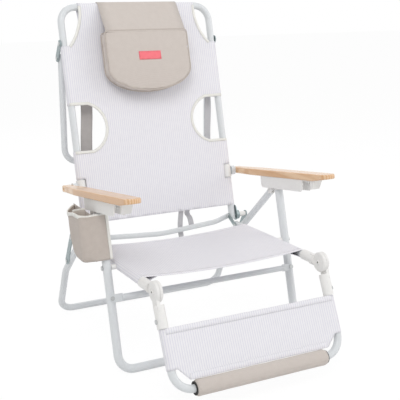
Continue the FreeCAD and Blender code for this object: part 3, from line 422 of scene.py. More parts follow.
def cut_cloth(outline, lay, gap):
    """Cloth cut to a flat outline and laid in place: a net of points fills it, then lay moves each."""
    ring = spaced(outline, gap * 0.7, closed=True)
    edge = np.array([(p.x, p.y) for p in ring])
    low, high = edge.min(axis=0), edge.max(axis=0)
    across, along = np.meshgrid(*(np.arange(low[k] + gap / 2, high[k], gap) for k in (0, 1)))
    net = np.column_stack([across.ravel(), along.ravel()])
    inside = np.zeros(len(net), bool)
    near = np.full(len(net), 1e9)
    for (x0, y0), (x1, y1) in zip(edge, np.roll(edge, -1, axis=0)):
        cross = (y0 > net[:, 1]) != (y1 > net[:, 1])
        if y0 != y1:
            inside ^= cross & (net[:, 0] < (x1 - x0) * (net[:, 1] - y0) / (y1 - y0) + x0)
        near = np.minimum(near, np.hypot(net[:, 0] - x0, net[:, 1] - y0))
    flat = [Vector(p) for p in (*edge, *net[inside & (near > gap * 0.55)])]
    points, _, faces, *_ = delaunay_2d_cdt(flat, [], [list(range(len(edge)))], 1, 1e-7)
    mesh = bpy.data.meshes.new("cloth")
    mesh.from_pydata([lay(p.x, p.y) for p in points], [], faces)
    mark_cut(mesh, lambda k: points[k])
    return mesh


def strip_mesh(rows, closed=False, capped=False):
    """Quads between rows of points; closed joins the ends of each row, capped fills the end rows."""
    wide, size = len(rows[0]), len(rows) * len(rows[0])
    spans = [(k, (k + 1) % wide) for k in range(wide if closed else wide - 1)]
    faces = [(r * wide + a, r * wide + b, (r + 1) * wide + b, (r + 1) * wide + a)
             for r in range(len(rows) - 1) for a, b in spans]
    if capped:
        faces += [range(wide)[::-1], range(size - wide, size)]
    mesh = bpy.data.meshes.new("strip")
    mesh.from_pydata([p for row in rows for p in row], [], faces)
    return mesh


def surface_normal(lay, u, s):
    """The way that laid cloth faces at a point."""
    step = 0.4 * MM
    across = lay(u + step, s) - lay(u - step, s)
    along = lay(u, s + step) - lay(u, s - step)
    return across.cross(along).normalized()


def bound_edge(run, lay, width, lift, inward):
    """Tape folded over a cut edge: inward is +1 if the cloth is on the left of the run."""
    profile = [(width, lift), (width * 0.5, lift * 1.25), (0.6 * MM, lift), (-0.9 * MM, 0.0),
               (0.6 * MM, -lift), (width * 0.5, -lift * 1.25), (width, -lift)]
    rows = []
    for point, aim in headings(spaced(run, 4 * MM)):
        into = Vector((-aim.y, aim.x)) * inward
        rows.append([lay(*(point + into * d)) + surface_normal(lay, *(point + into * d)) * h
                     for d, h in profile])
    return strip_mesh(rows)


def stitches(runs, lay, lift, pitch):
    """Rows of raised thread dashes along lines drawn on the flat cloth."""
    dashes = bmesh.new()
    for run in runs:
        line = spaced(run, pitch)
        for a, b in zip(line, line[1:]):
            along = (b - a).normalized()
            side = Vector((-along.y, along.x)) * THREAD
            first, mid, last = a.lerp(b, 0.16), a.lerp(b, 0.5), a.lerp(b, 0.84)
            rise = surface_normal(lay, *mid)
            ring = [lay(*p) + rise * lift for p in (first, mid + side, last, mid - side)]
            made = [dashes.verts.new(p) for p in ring + [lay(*mid) + rise * (lift + THREAD)]]
            for k in range(4):
                dashes.faces.new((made[k], made[(k + 1) % 4], made[4]))
    mesh = bpy.data.meshes.new("stitches")
    dashes.to_mesh(mesh)
    dashes.free()
    return mesh


weave, weave_in, weave_out = effect(
    "thread_weave",
    [("Vector", "Vector", None), ("Pitch", "Float", 0.0012), ("Ripple", "Float", 60.0)],
    [("Height", "Float"), ("Gap", "Float"), ("Cloud", "Float")])
fineness = reckon(weave, "DIVIDE", _0=math.pi)
grid = put(weave, "VectorMath", operation="SCALE")
grid_parts = put(weave, "SeparateXYZ")
warp = reckon(weave, "SINE")
weft = reckon(weave, "SINE")
third = reckon(weave, "COSINE")
crossed = reckon(weave, "MULTIPLY")
relief = reckon(weave, "MULTIPLY_ADD", _1=0.25)
# Gap output: painted shade where the weave sinks between threads, mixed into the cloth's colour by each woven
# material.
gap_shade = put(weave, "MapRange", From_Min=-0.1, From_Max=-0.9)
cloud = put(weave, "TexNoise", Detail=4.0, Roughness=0.55)
wire(weave, (weave_in, "Pitch", fineness, 1), (fineness, 0, grid, "Scale"), (weave_in, "Vector", grid, 0),
     (grid, 0, grid_parts, 0), (grid_parts, "X", warp, 0), (grid_parts, "Y", weft, 0),
     (grid_parts, "Z", third, 0), (warp, 0, crossed, 0), (weft, 0, crossed, 1), (third, 0, relief, 0),
     (crossed, 0, relief, 2), (relief, 0, gap_shade, "Value"), (weave_in, "Vector", cloud, "Vector"),
     (weave_in, "Ripple", cloud, "Scale"), (relief, 0, weave_out, "Height"), (gap_shade, 0, weave_out, "Gap"),
     (cloud, "Fac", weave_out, "Cloud"))


def woven_paint(name, light, dark, pitch, roughness, spread=0.35, sheen=0.1, bump=0.0003, by_cut=True):
    """Plain woven cloth with raised threads, painted shade where the weave sinks between them and a slow
    change of tone.
    """
    made, tree, shader = finish_paint(name, roughness, sheen=sheen)
    spot = put(tree, "TexCoord")
    threads = put(tree, "Group", node_tree=weave, Pitch=pitch)
    tone = put(tree, "MapRange", From_Min=0.3, From_Max=0.7, To_Max=spread)
    shade = reckon(tree, "MULTIPLY_ADD", use_clamp=True, _1=0.45)
    mix = put(tree, "Mix", data_type="RGBA", A=colour(light), B=colour(dark))
    wire(tree, (spot, "UV" if by_cut else "Object", threads, "Vector"), (threads, "Cloud", tone, "Value"),
         (threads, "Gap", shade, 0), (tone, 0, shade, 2), (shade, 0, mix, "Factor"),
         (mix, "Result", shader, "Base Color"))
    raise_bump(tree, shader, threads, "Height", bump, 0.5)
    return made, tree, shader, mix


sling_cloth, sling_tree, sling_shader, sling_mix = woven_paint(
    "pinstriped_sling_cloth", "F3F2F5", "DBDAE2", 1.3 * MM, 0.82, spread=0.15)
stripe_spot = put(sling_tree, "TexCoord")
stripe_split = put(sling_tree, "SeparateXYZ")
stripe_count = reckon(sling_tree, "DIVIDE", _1=STRIPE_PITCH)
stripe_part = reckon(sling_tree, "FRACT")
stripe_edge = reckon(sling_tree, "LESS_THAN", _1=STRIPE_WIDTH)
wire(sling_tree, (stripe_spot, "UV", stripe_split, 0), (stripe_split, "X", stripe_count, 0),
     (stripe_count, 0, stripe_part, 0), (stripe_part, 0, stripe_edge, 0))
tint(sling_tree, sling_shader, sling_mix, stripe_edge, "F1F0F6")
ivory_tape = woven_paint("ivory_binding_tape", "F4F3EE", "DFDDD5", 1.0 * MM, 0.75, by_cut=False)[0]
sewing_thread = woven_paint("pale_sewing_thread", "F0EFF2", "D9D8DE", 0.5 * MM, 0.7, by_cut=False)[0]


def back_sag(s):
    """Sag of the back sling at a height; it dies out towards the top tube."""
    return BACK_SAG * (1 - ease(s, *SAG_FADE))


back_sides = sleeved(back_at, FRAME_HALF, back_sag, 1.6 * MM)


def back_lay(u, s):
    """Back cloth: sleeves at the sides as usual, and over the top tube at the head."""
    over = s - BACK_TOP
    if over <= 0:
        return back_sides(u, s)
    angle = over / SLEEVE_R
    if angle <= math.pi:
        return back_at(u, BACK_TOP + SLEEVE_R * math.sin(angle), SLEEVE_R * math.cos(angle))
    run = over - math.pi * SLEEVE_R
    share = min(run / (2.0 * SLEEVE_TUCK), 1.0)
    seam_level = SLEEVE_R - SEAM_DROP - back_sag(BACK_TOP - run) * (1 - (u / FRAME_HALF) ** 2)
    return back_at(u, BACK_TOP - run, -SLEEVE_R + (seam_level + SLEEVE_R) * share)


back_reach = sleeve_reach(FRAME_HALF)
back_head = BACK_TOP + math.pi * SLEEVE_R + 2.0 * SLEEVE_TUCK
slot_mid, slot_half = (SLOT_LOW + SLOT_HIGH) / 2, (SLOT_HIGH - SLOT_LOW) / 2
slot_deep = SLOT_START - SLOT_NOSE
slot_r = (slot_half ** 2 + slot_deep ** 2) / (2 * slot_deep)
slot_turns = [math.asin(slot_half / slot_r) * (k / 13 - 1) for k in range(27)]
slot_edge = [Vector((SLOT_NOSE + slot_r * (1 - math.cos(a)), slot_mid + slot_r * math.sin(a)))
             for a in slot_turns]
corner_edge = bend((TIP_EDGE, SLING_TIP), CORNER_AIM, (TOP_HALF, CORNER_TOP), 14)
back_cut = both_halves([
    (back_reach, SLING_LOW), (back_reach, COLLAR_LOW), (COLLAR_EDGE, COLLAR_LOW), (COLLAR_EDGE, COLLAR_HIGH),
    (back_reach, COLLAR_HIGH), (back_reach, SLOT_LOW), *map(tuple, slot_edge), (back_reach, SLOT_HIGH),
    (back_reach, SLING_TIP), *map(tuple, corner_edge), (TOP_HALF, back_head)])
back_sling = show("back_sling_cloth", cut_cloth(back_cut, back_lay, NET_GAP), sling_cloth, "back", "sling",
                  ["back_sling"], CLOTH_T)
back_trim, sleeve_runs = [], []
slot_out = FRAME_HALF + 8 * MM
bound_runs = {"slot": [(slot_out, SLOT_LOW), *slot_edge, (slot_out, SLOT_HIGH)],
              "corner": [*corner_edge, (TOP_HALF, BACK_TOP)]}
for label, side in (("left", -1), ("right", 1)):
    for part, run in bound_runs.items():
        binding = bound_edge([(side * u, s) for u, s in run], back_lay, BINDING_W, BINDING_LIFT, side)
        back_trim.append(show(part + "_binding_" + label, binding, ivory_tape, "back", "sling", (),
                              BINDING_T))
    seam_u = side * sleeve_seam(FRAME_HALF)
    for low, high in ((SLING_LOW, SLOT_LOW - 10 * MM), (SLOT_HIGH + 10 * MM, SLING_TIP)):
        sleeve_runs.append([(seam_u, low + 3 * MM), (seam_u, high - 3 * MM)])
for half, s in ((back_reach * 0.72, SLING_LOW + 16 * MM),
                (TOP_HALF - 12 * MM, BACK_TOP - 2.0 * SLEEVE_TUCK + 4 * MM)):
    sleeve_runs.append([(-half, s), (half, s)])
back_trim.append(show("back_sling_stitching", stitches(sleeve_runs, back_lay, CLOTH_T / 2, STITCH_PITCH),
                      sewing_thread, "back", "sling"))
flat_area(back_cut)

# Seat sling: the same striped cloth drawn over the two seat rails, with a loose sleeve round each.
# The front and rear edges are turned under in a hem and sewn twice.
SEAT_RISE = math.radians(1.37)
SEAT_REAR, SEAT_FRONT, SEAT_SAG = -186.0 * MM, 158.0 * MM, 12.0 * MM
HEM_W, HEM_LIFT, HEM_T, HEM_CORNER = 16.0 * MM, 0.76 * MM, 0.3 * MM, 46.0 * MM
HEM_ROWS = (6.0 * MM, 12.0 * MM)
seat_at = member(pivot["fold"], (0, -math.cos(SEAT_RISE), math.sin(SEAT_RISE)),
                 (0, math.sin(SEAT_RISE), math.cos(SEAT_RISE)))


def hemmed_sling(node, at, half, low, high, sag, body, outline=None):
    """A plain sling between two tubes: the cloth, its two hems and its rows of stitches."""
    lay = sleeved(at, half, lambda s: sag, 1.2 * MM)
    reach = sleeve_reach(half)
    cut = outline or [(reach, low), (reach, high), (-reach, high), (-reach, low)]
    cloth = show(node + "_cloth", cut_cloth(cut, lay, NET_GAP), sling_cloth, body, "sling", [node], CLOTH_T)
    for label, edge, inward in (("rear", low, 1), ("front", high, -1)):
        hem_half = half if outline is None or inward > 0 else half - HEM_CORNER
        hem = bound_edge([(-hem_half, edge), (hem_half, edge)], lay, HEM_W, HEM_LIFT, inward)
        mark_cut(hem, lambda k: hem.vertices[k].co.xz)
        show(node + "_hem_" + label, hem, sling_cloth, body, "sling", (), HEM_T)
    full = half * 0.97
    end = full if outline is None else half - HEM_CORNER - 6 * MM
    rows = [[(-full, low + d), (full, low + d)] for d in HEM_ROWS]
    rows += [[(-end, high - d), (end, high - d)] for d in HEM_ROWS]
    rows += [[(u, low + 18 * MM), (u, high - 18 * MM)] for u in (-sleeve_seam(half), sleeve_seam(half))]
    show(node + "_stitching", stitches(rows, lay, 0.9 * MM, STITCH_PITCH), sewing_thread, body,
                     "sling")
    flat_area(cut)


hemmed_sling("seat_sling", seat_at, FRAME_HALF, SEAT_REAR, SEAT_FRONT, SEAT_SAG, "seat")

# Footrest sling: a shorter length of the same cloth between the sides of the footrest hoop.
# Its lower corners are cut away where the hoop bends in to the padded roll.
FOOT_LEAN, FOOT_HALF, FOOT_SAG = math.radians(25.5), 261.0 * MM, 9.0 * MM
FOOT_TOP, FOOT_END, FOOT_BEND = 99.0 * MM, 238.0 * MM, 205.8 * MM
foot_at = member(pivot["footrest_tilt"], (0, -math.sin(FOOT_LEAN), -math.cos(FOOT_LEAN)),
                 (0, -math.cos(FOOT_LEAN), math.sin(FOOT_LEAN)))
foot_reach = sleeve_reach(FOOT_HALF)
foot_cut = both_halves([(foot_reach, FOOT_TOP), (foot_reach, FOOT_BEND), (FOOT_HALF - 14 * MM, FOOT_BEND),
                        (FOOT_HALF - 44 * MM, FOOT_END)])
# The cloth counts its width from the other side, so that its good side faces the feet.
hemmed_sling("footrest_sling", lambda x, s, out: foot_at(-x, s, out), FOOT_HALF, FOOT_TOP, FOOT_END, FOOT_SAG,
             "footrest", foot_cut)

# Footrest roll: a foam sleeve in taupe cloth pushed over the floor end of the hoop, dark foam at its ends.
# The cover is drawn in a little at each end and has one long seam underneath.
ROLL_R, ROLL_HALF, ROLL_BORE, ROLL_END_R, ROLL_AXIS = 22.5 * MM, 204.0 * MM, 11.6 * MM, 17.0 * MM, 262.8 * MM
ROLL_ROWS, ROLL_SIDES = 80, 48
SEAM_TURN = 4.4
roll_turns = [2 * math.pi * j / ROLL_SIDES for j in range(ROLL_SIDES)]


def roll_ring(x, radii):
    """A ring of points round the roll's axis."""
    return [foot_at(x, ROLL_AXIS + r * math.cos(a), r * math.sin(a)) for a, r in zip(roll_turns, radii)]


roll_rows = []
for k in range(ROLL_ROWS + 1):
    x = -ROLL_HALF + 2 * ROLL_HALF * k / ROLL_ROWS
    from_end = ROLL_HALF - abs(x)
    drawn = 3.2 * MM * (1 - ease(from_end, 0.0, 9 * MM)) ** 2
    radii = []
    for angle in roll_turns:
        pucker = 0.5 * MM * (1 - ease(from_end, 0.0, 26 * MM)) * math.cos(12 * angle)
        soft = 0.5 * MM * noise.noise(Vector((x * 22, math.cos(angle) * 2, math.sin(angle) * 2)))
        seam = 1.3 * MM * math.exp(-((angle - SEAM_TURN) / 0.09) ** 2)
        radii.append(ROLL_R - drawn + pucker + soft - seam - 0.4 * MM)
    roll_rows.append(roll_ring(x, radii))
for x, radius in ((ROLL_HALF, ROLL_END_R), (ROLL_HALF - 0.5 * MM, ROLL_BORE)):
    ring = roll_ring(x, [radius] * ROLL_SIDES)
    roll_rows.append(ring)
    roll_rows.insert(0, [Vector((-p.x, p.y, p.z)) for p in ring])
taupe_cloth = woven_paint("taupe_pillow_cloth", "D3CAC3", "B9AEA6", 1.1 * MM, 0.88, spread=0.14, sheen=0.2,
                          by_cut=False)[0]
roll = show("footrest_roll_cover", strip_mesh(roll_rows, closed=True), taupe_cloth, "footrest", "padding",
            ["footrest_roll"])
dark_foam = handled_paint("dark_end_foam", "2B2A2A", "4A4846", 260.0, 0.7, 0.8, 0.1, 0.0006)
dress(["roll_end_discs"], dark_foam)

# Hex sockets in the heads of the knuckle axles, seen from each side as a dark dot.
# Flat dark steel hexagons set flush in the white heads, not cut in: their dark colour is also painted shade
# for the hollow of each socket.
SOCKET_R, SOCKET_T, HEAD_IN, HEAD_OUT = 2.6 * MM, 0.8 * MM, 248.5 * MM, 273.5 * MM
socket_shade_paint = handled_paint("dark_socket_shade", "3C3D3E", "5A5C5E", 200.0, 0.5, 0.5, 0.1, 0.0003, 0.6)
sockets = bmesh.new()
for x in (-HEAD_OUT, -HEAD_IN, HEAD_IN, HEAD_OUT):
    place = Matrix.Translation((x, *pivot["footrest_tilt"][1:])) @ Matrix.Rotation(math.pi / 2, 4, "Y")
    bmesh.ops.create_cone(sockets, cap_ends=True, segments=6, radius1=SOCKET_R, radius2=SOCKET_R,
                          depth=SOCKET_T, matrix=place)
socket_mesh = bpy.data.meshes.new("sockets")
sockets.to_mesh(socket_mesh)
sockets.free()
show("knuckle_sockets", socket_mesh, socket_shade_paint, "seat", "steel")
socket_mesh.shade_flat()

# Carry straps: two grey bands sewn to the back of the sling near the head and drawn down to the crossbar.
# They hang slack behind the arm slots; below its pad the right one is paler webbing that slants in.
STRAP_W, STRAP_T, STRAP_CROWN, PAD_END = 39.0 * MM, 3.0 * MM, -0.8 * MM, 505.0 * MM
WEB_W, WEB_T = 18.0 * MM, 1.4 * MM
BAND_COLUMNS = 9
webbing = dict(pitch=2.2 * MM, roughness=0.85, spread=0.2, bump=0.0006)
strap_grey = woven_paint("grey_strap_webbing", "B7B2B0", "98938F", **webbing)[0]
pale_webbing, web_tree, web_shader, web_mix = woven_paint("pale_grey_webbing", "CFCED1", "B1B0B4", **webbing)
web_spot = put(web_tree, "TexCoord")
web_split = put(web_tree, "SeparateXYZ")
web_pad = reckon(web_tree, "GREATER_THAN", _1=back_at(0.0, PAD_END).z)
wire(web_tree, (web_spot, "Object", web_split, 0), (web_split, "Z", web_pad, 0))
tint(web_tree, web_shader, web_mix, web_pad, "E2DCD6")


def through_points(points, gap):
    """A smooth line through given points."""
    pts = [Vector(p) for p in points]
    made = []
    for k in range(len(pts) - 1):
        before, a, b, after = pts[max(k - 1, 0)], pts[k], pts[k + 1], pts[min(k + 2, len(pts) - 1)]
        count = max(2, round((b - a).length / gap))
        for j in range(count):
            t = j / count
            made.append(0.5 * (2 * a + (b - before) * t + (2 * before - 5 * a + 4 * b - after) * t * t
                               + (3 * a - before - 3 * b + after) * t ** 3))
    return made + [pts[-1]]


def run_lengths(line):
    """How far along a line each of its points lies."""
    runs = [0.0]
    for a, b in zip(line, line[1:]):
        runs.append(runs[-1] + (b - a).length)
    return runs


def band(name, line, widths, thick, paint, slot, nodes=(), crown=0.0):
    """A flat band along a line, with its width across the chair at each point; also gives its length."""
    runs = run_lengths(line)
    shares = [2 * c / (BAND_COLUMNS - 1) - 1 for c in range(BAND_COLUMNS)]
    rows = []
    for (point, aim), wide in zip(headings(line), widths):
        out = aim.cross(Vector((1, 0, 0))).normalized()
        rows.append([point + Vector((wide * h / 2, 0, 0)) + out * crown * (1 - h * h) for h in shares])
    mesh = strip_mesh(rows)
    mark_cut(mesh, lambda k: (mesh.vertices[k].co.x, runs[k // BAND_COLUMNS]))
    return show(name, mesh, paint, "back", slot, nodes, thick), runs[-1]


# Stations of each strap in millimetres: x, width, distance up the back and distance out from it.
left_stations = (
    (202.5, 38, 620, 1.9), (202.5, 38, 590, 0.9), (202.5, 38, 540, -5.1), (199.5, 38, 470, -21.6),
    (200.5, 38, 390, -32.4), (211.5, 38, 300, -36), (222.5, 38, 190, -36), (224.5, 38, 100, -34),
    (224.5, 38, 20, -32.2), (224.5, 38, -22, -32.2))
right_stations = (
    (202.5, 38, 620, 1.9), (202.5, 38, 590, 0.9), (211.5, 33, 540, -5.1), (232.5, 21, 470, -19.8),
    (235.5, 21, 390, -29.7), (223.5, 21, 300, -33), (207.5, 21, 190, -33), (196.5, 18, 150, -32),
    (113, 18, 42, -32.2), (117, 18, 8, -32.2), (121, 18, -28, -32.2))
for label, side, stations, paint in (("left", -1, left_stations, strap_grey),
                                     ("right", 1, right_stations, pale_webbing)):
    route = through_points([Vector((*back_at(side * x * MM, s * MM, out * MM), wide * MM))
                            for x, wide, s, out in stations], 8 * MM)
    line, widths = [p.to_3d() for p in route], [p.w for p in route]
    strap, strap_len = band("carry_strap_" + label, line, widths, STRAP_T, paint, "strap", ["strap_" + label],
                            STRAP_CROWN)
    strap_flat = sum((v + w) / 2 * (q - p).length for p, q, v, w in zip(line, line[1:], widths, widths[1:]))

# Loose tail of the adjusting webbing, beside the end of the right strap.
# Thin grey webbing that comes down from behind the sling's lower hem and hangs past the crossbar.
TAIL_X = 76.0 * MM
tail_route = [(66, -8.0), (36, -9.0), (4, -24.0), (-24, -31.5), (-58, -30.0)]
tail_line = through_points([back_at(TAIL_X, s * MM, out * MM) for s, out in tail_route], 6 * MM)
tail, tail_len = band("webbing_tail", tail_line, [WEB_W] * len(tail_line), WEB_T, pale_webbing, "strap")

# Head pillow: a boxed D of taupe cloth stuffed with fibre, hung in front of the back on its own flap.
# Front and back panels are joined by a gusset, with corded seams round both edges.
PILLOW_HALF, PILLOW_LOW, PILLOW_HIGH = 145.0 * MM, 433.0 * MM, 630.0 * MM
PILLOW_REAR, PILLOW_DEEP, PILLOW_FOOT, PILLOW_CORNER = 16.0 * MM, 46.0 * MM, 74.0 * MM, 15.0 * MM
GUSSET_REAR, GUSSET_FRONT, SEAM_INSET, PIPING_R = 0.14, 0.86, 2.0 * MM, 1.9 * MM
FILL_PRESSURE, FILL_STEPS, FILL_CAP, FILL_NET, RELAX_PASSES = 4.0, 20, 8.0 * MM, 5.0 * MM, 30


def d_shape(inset):
    """The pillow's outline, clockwise from the top left: flat top, straight sides, half-round foot."""
    w, low, high = PILLOW_HALF - inset, PILLOW_LOW + PILLOW_FOOT, PILLOW_HIGH - inset
    drop = PILLOW_FOOT - inset
    inner, shoulder_low = w - PILLOW_CORNER, high - PILLOW_CORNER
    top = spaced([(-inner, high), (inner, high)], 12 * MM)
    half = bend((inner, high), (w, high), (w, shoulder_low), 4)[1:]
    half += spaced([(w, shoulder_low), (w, low)], 10 * MM)[1:]
    foot_turns = [math.pi * k / 36 for k in range(1, 19)]
    half += [Vector((w * math.cos(a), low - drop * math.sin(a))) for a in foot_turns]
    return top + half + [Vector((-p.x, p.y)) for p in reversed(half[:-1])][:-1]


def pillow_ring(inset, share):
    """The outline drawn in by an inset, at a share of the pillow's depth."""
    return [back_at(p.x, p.y, PILLOW_REAR + PILLOW_DEEP * share) for p in d_shape(inset)]


pillow_rows = [pillow_ring(inset * MM, share) for share, inset in (
    (0.0, 70), (0.0, 40), (0.02, 16), (0.06, 6), (GUSSET_REAR, 2), (0.3, 1), (0.5, 1), (0.7, 1),
    (GUSSET_FRONT, 2), (0.94, 6), (0.98, 15), (1.0, 40), (1.0, 70))]
pillow_mesh = strip_mesh(pillow_rows, closed=True, capped=True)
pillow_mesh.name = "head_pillow_cover"
seam_lines = [pillow_ring(SEAM_INSET, share) for share in (GUSSET_REAR, GUSSET_FRONT)]


def stuff(piece, seams):
    """Fills a sewn cover: cloth under light pressure, held along its seams, each point's travel capped."""
    bpy.context.view_layer.objects.active = piece
    remesh = piece.modifiers.new("net", "REMESH")
    remesh.mode = "VOXEL"
    remesh.voxel_size = FILL_NET
    bpy.ops.object.modifier_apply(modifier="net")
    rest = [v.co.copy() for v in piece.data.vertices]
    held = piece.vertex_groups.new(name="seam")
    sewn = [v.index for v in piece.data.vertices
            if min((v.co - p).length for line in seams for p in line) < FILL_NET * 1.1]
    held.add(sewn, 1.0, "REPLACE")
    cloth = piece.modifiers.new("fill", "CLOTH").settings
    cloth.use_pressure = True
    cloth.uniform_pressure_force = FILL_PRESSURE
    cloth.effector_weights.gravity = 0.0
    cloth.vertex_group_mass = "seam"
    cloth.tension_stiffness = cloth.compression_stiffness = 20.0
    for step in range(1, FILL_STEPS + 1):
        scene.frame_set(step)
    bpy.ops.object.modifier_apply(modifier="fill")
    scene.frame_set(1)
    for v, start in zip(piece.data.vertices, rest):
        move = v.co - start
        if move.length > FILL_CAP:
            v.co = start + move.normalized() * FILL_CAP
    relaxed = bmesh.new()
    relaxed.from_mesh(piece.data)
    relaxed.verts.ensure_lookup_table()
    loose = [relaxed.verts[k] for k in sorted(set(range(len(relaxed.verts))) - set(sewn))]
    for _ in range(RELAX_PASSES):
        bmesh.ops.smooth_vert(relaxed, verts=loose, factor=0.5, use_axis_x=True, use_axis_y=True,
                              use_axis_z=True)
    relaxed.to_mesh(piece.data)
    relaxed.free()


pillow = stand("head_pillow_cover", pillow_mesh)
stuff(pillow, [spaced(line, 4 * MM, closed=True) for line in seam_lines])
round_out = pillow.modifiers.new("round", "SUBSURF")
round_out.levels = round_out.render_levels = 1
settle(pillow, taupe_cloth, "back", "padding", ["head_pillow"])
piping_cloth = woven_paint("taupe_piping", "C8BEB6", "ABA097", 1.0 * MM, 0.85, spread=0.14, by_cut=False)[0]
for label, line in zip(("rear", "front"), seam_lines):
    cord = bpy.data.curves.new("cord", "CURVE")
    cord.dimensions = "3D"
    cord.bevel_depth = PIPING_R
    cord.bevel_resolution = 3
    path = cord.splines.new("POLY")
    path.points.add(len(line) - 1)
    path.use_cyclic_u = True
    for point, spot in zip(path.points, line):
        point.co = (*spot, 1.0)
    show("pillow_piping_" + label, cord, piping_cloth, "back", "padding")

# Pillow flap: one layer of the pillow's cloth from its front top seam back over the top tube and down behind.
# It is sewn in with the piping, and its hang behind the tube keeps the pillow at the chosen height.
FLAP_HALF, FLAP_R, FLAP_MID, FLAP_REAR, FLAP_T = 138.0 * MM, 14.1 * MM, 680.0 * MM, 628.0 * MM, 1.5 * MM
hem_s, hem_out = PILLOW_HIGH - 8 * MM - BACK_TOP, PILLOW_REAR + 0.9 * PILLOW_DEEP
touch = math.atan2(hem_out, hem_s) - math.acos(FLAP_R / math.hypot(hem_s, hem_out))
flap_hem = back_at(0, BACK_TOP + hem_s, hem_out)
flap_turns = [touch - (touch + math.pi / 2) * k / 12 for k in range(13)]
flap_over = [back_at(0, BACK_TOP + FLAP_R * math.cos(a), FLAP_R * math.sin(a)) for a in flap_turns]
flap_front = [flap_hem.lerp(flap_over[0], k / 6) for k in range(6)]
flap_fall = [back_at(0, s, -FLAP_R) for s in (FLAP_MID, FLAP_REAR)]
flap_line = through_points(flap_front + flap_over + flap_fall, 6 * MM)
taupe_flap = woven_paint("taupe_flap_cloth", "D5CCC5", "BBB0A8", 1.1 * MM, 0.88, spread=0.14, sheen=0.2)[0]
flap, flap_len = band("pillow_flap_cloth", flap_line, [2 * FLAP_HALF] * len(flap_line), FLAP_T, taupe_flap,
                      "padding", ["pillow_flap"])

# Plain coral patch sewn to the front of the pillow with a row of darker thread inside its edge.
# It follows the stuffed cloth under it and is left bare.
PATCH_HALF, PATCH_LOW, PATCH_HIGH, PATCH_T = 38.0 * MM, 531.0 * MM, 558.0 * MM, 0.8 * MM
pillow_skin = BVHTree.FromObject(pillow, bpy.context.evaluated_depsgraph_get())
pillow_face = back_at(0, 0, 1.0) - back_at(0, 0, 0.0)


def on_pillow(x, s):
    """A point on the pillow's front."""
    hit = pillow_skin.ray_cast(back_at(x, s, 0.2), -pillow_face, 0.3)[0]
    return (hit or back_at(x, s, PILLOW_REAR + PILLOW_DEEP)) + pillow_face * 0.7 * MM


def patch_corners(inset):
    """The patch's corners, or those of a line that far inside its edge."""
    w, low, high = PATCH_HALF - inset, PATCH_LOW + inset, PATCH_HIGH - inset
    return [(-w, low), (w, low), (w, high), (-w, high)]


coral = woven_paint("coral_patch_cloth", "FF8089", "F26D78", 0.8 * MM, 0.7)[0]
patch_cut = spaced(patch_corners(0.0), 4 * MM, closed=True)
patch = show("pillow_patch", cut_cloth(patch_cut, on_pillow, 5 * MM), coral, "back", "patch",
             ["pillow_label"], PATCH_T)
coral_thread = woven_paint("coral_thread", "D9545F", "B8434D", 0.5 * MM, 0.7, by_cut=False)[0]
patch_run = patch_corners(2 * MM)
patch_run.append(patch_run[0])
patch_seam = show("pillow_patch_stitching", stitches([patch_run], on_pillow, 0.4 * MM, 3 * MM), coral_thread,
                  "back", "patch")

# Side pouch: a two-cell bag of taupe cloth on a backing beside the left front leg, lapped round its front.
# One wall runs across the front, back along the side and in to the backing; rim and lap are bound in tape.
LEG_LEAN, LEG_FOOT, LEG_R = math.radians(15.7), -266.5 * MM, 12.5 * MM
BAG_X, BAG_LAP, BAG_OUT = 329.0 * MM, 284.0 * MM, 372.0 * MM
BAG_LOW, BAG_HIGH, BAG_AHEAD = 324.0 * MM, 450.0 * MM, 15.5 * MM
BAG_SIDE_LOW, BAG_SIDE_HIGH, BAG_TAPER = 78.0 * MM, 100.0 * MM, 52.0 * MM
BAG_TURN, BAG_SOFT, BAG_COLUMNS, BAG_ROWS = 16.0 * MM, 24.0 * MM, 61, 24
WALL_T, BACKING_T, BACKING_FLAT, RIM_LIFT, RIM_T = 1.4 * MM, 1.6 * MM, 190.0 * MM, 1.4 * MM, 0.7 * MM
DOWN, TO_SIDE = Vector((0.0, 0.0, -1.0)), Vector((-1.0, 0.0, 0.0))
pouch_cloth = woven_paint("taupe_pouch_cloth", "C7BDB5", "A79C93", 1.2 * MM, 0.88, spread=0.2, sheen=0.15)[0]


def bag_front(z):
    """How far forward the bag's front stands at a height: it leans with the leg."""
    return LEG_FOOT + (z - LEG_R) * math.tan(LEG_LEAN) - BAG_AHEAD


def bag_path(z):
    """Plan of the bag's wall at a height, from the lap in front of the leg round to the backing."""
    up = (z - BAG_LOW) / (BAG_HIGH - BAG_LOW)
    front = bag_front(z)
    rear = front + BAG_SIDE_LOW + (BAG_SIDE_HIGH - BAG_SIDE_LOW) * up
    near, far = Vector((-BAG_OUT + 3 * MM, front)), Vector((-BAG_OUT, rear))
    end = Vector((-BAG_X - 1 * MM, rear + BAG_TAPER))
    side_way, last_way = (far - near).normalized(), (end - far).normalized()
    turn_in, turn_out = Vector((near.x + BAG_TURN, front)), near + side_way * BAG_TURN
    soft_in, soft_out = far - side_way * BAG_SOFT, far + last_way * BAG_SOFT
    path = spaced([(-BAG_LAP, front), turn_in], 6 * MM) + bend(turn_in, near, turn_out, 6)[1:]
    path += spaced([turn_out, soft_in], 6 * MM)[1:] + bend(soft_in, far, soft_out, 6)[1:]
    return path + spaced([soft_out, end], 6 * MM)[1:]


def even(path, count):
    """The same line as a set number of points at equal steps."""
    runs = run_lengths(path)
    steps = np.linspace(0.0, runs[-1], count)
    columns = [np.interp(steps, runs, [q[k] for q in path]) for k in (0, 1)]
    return [Vector(p) for p in np.column_stack(columns)]


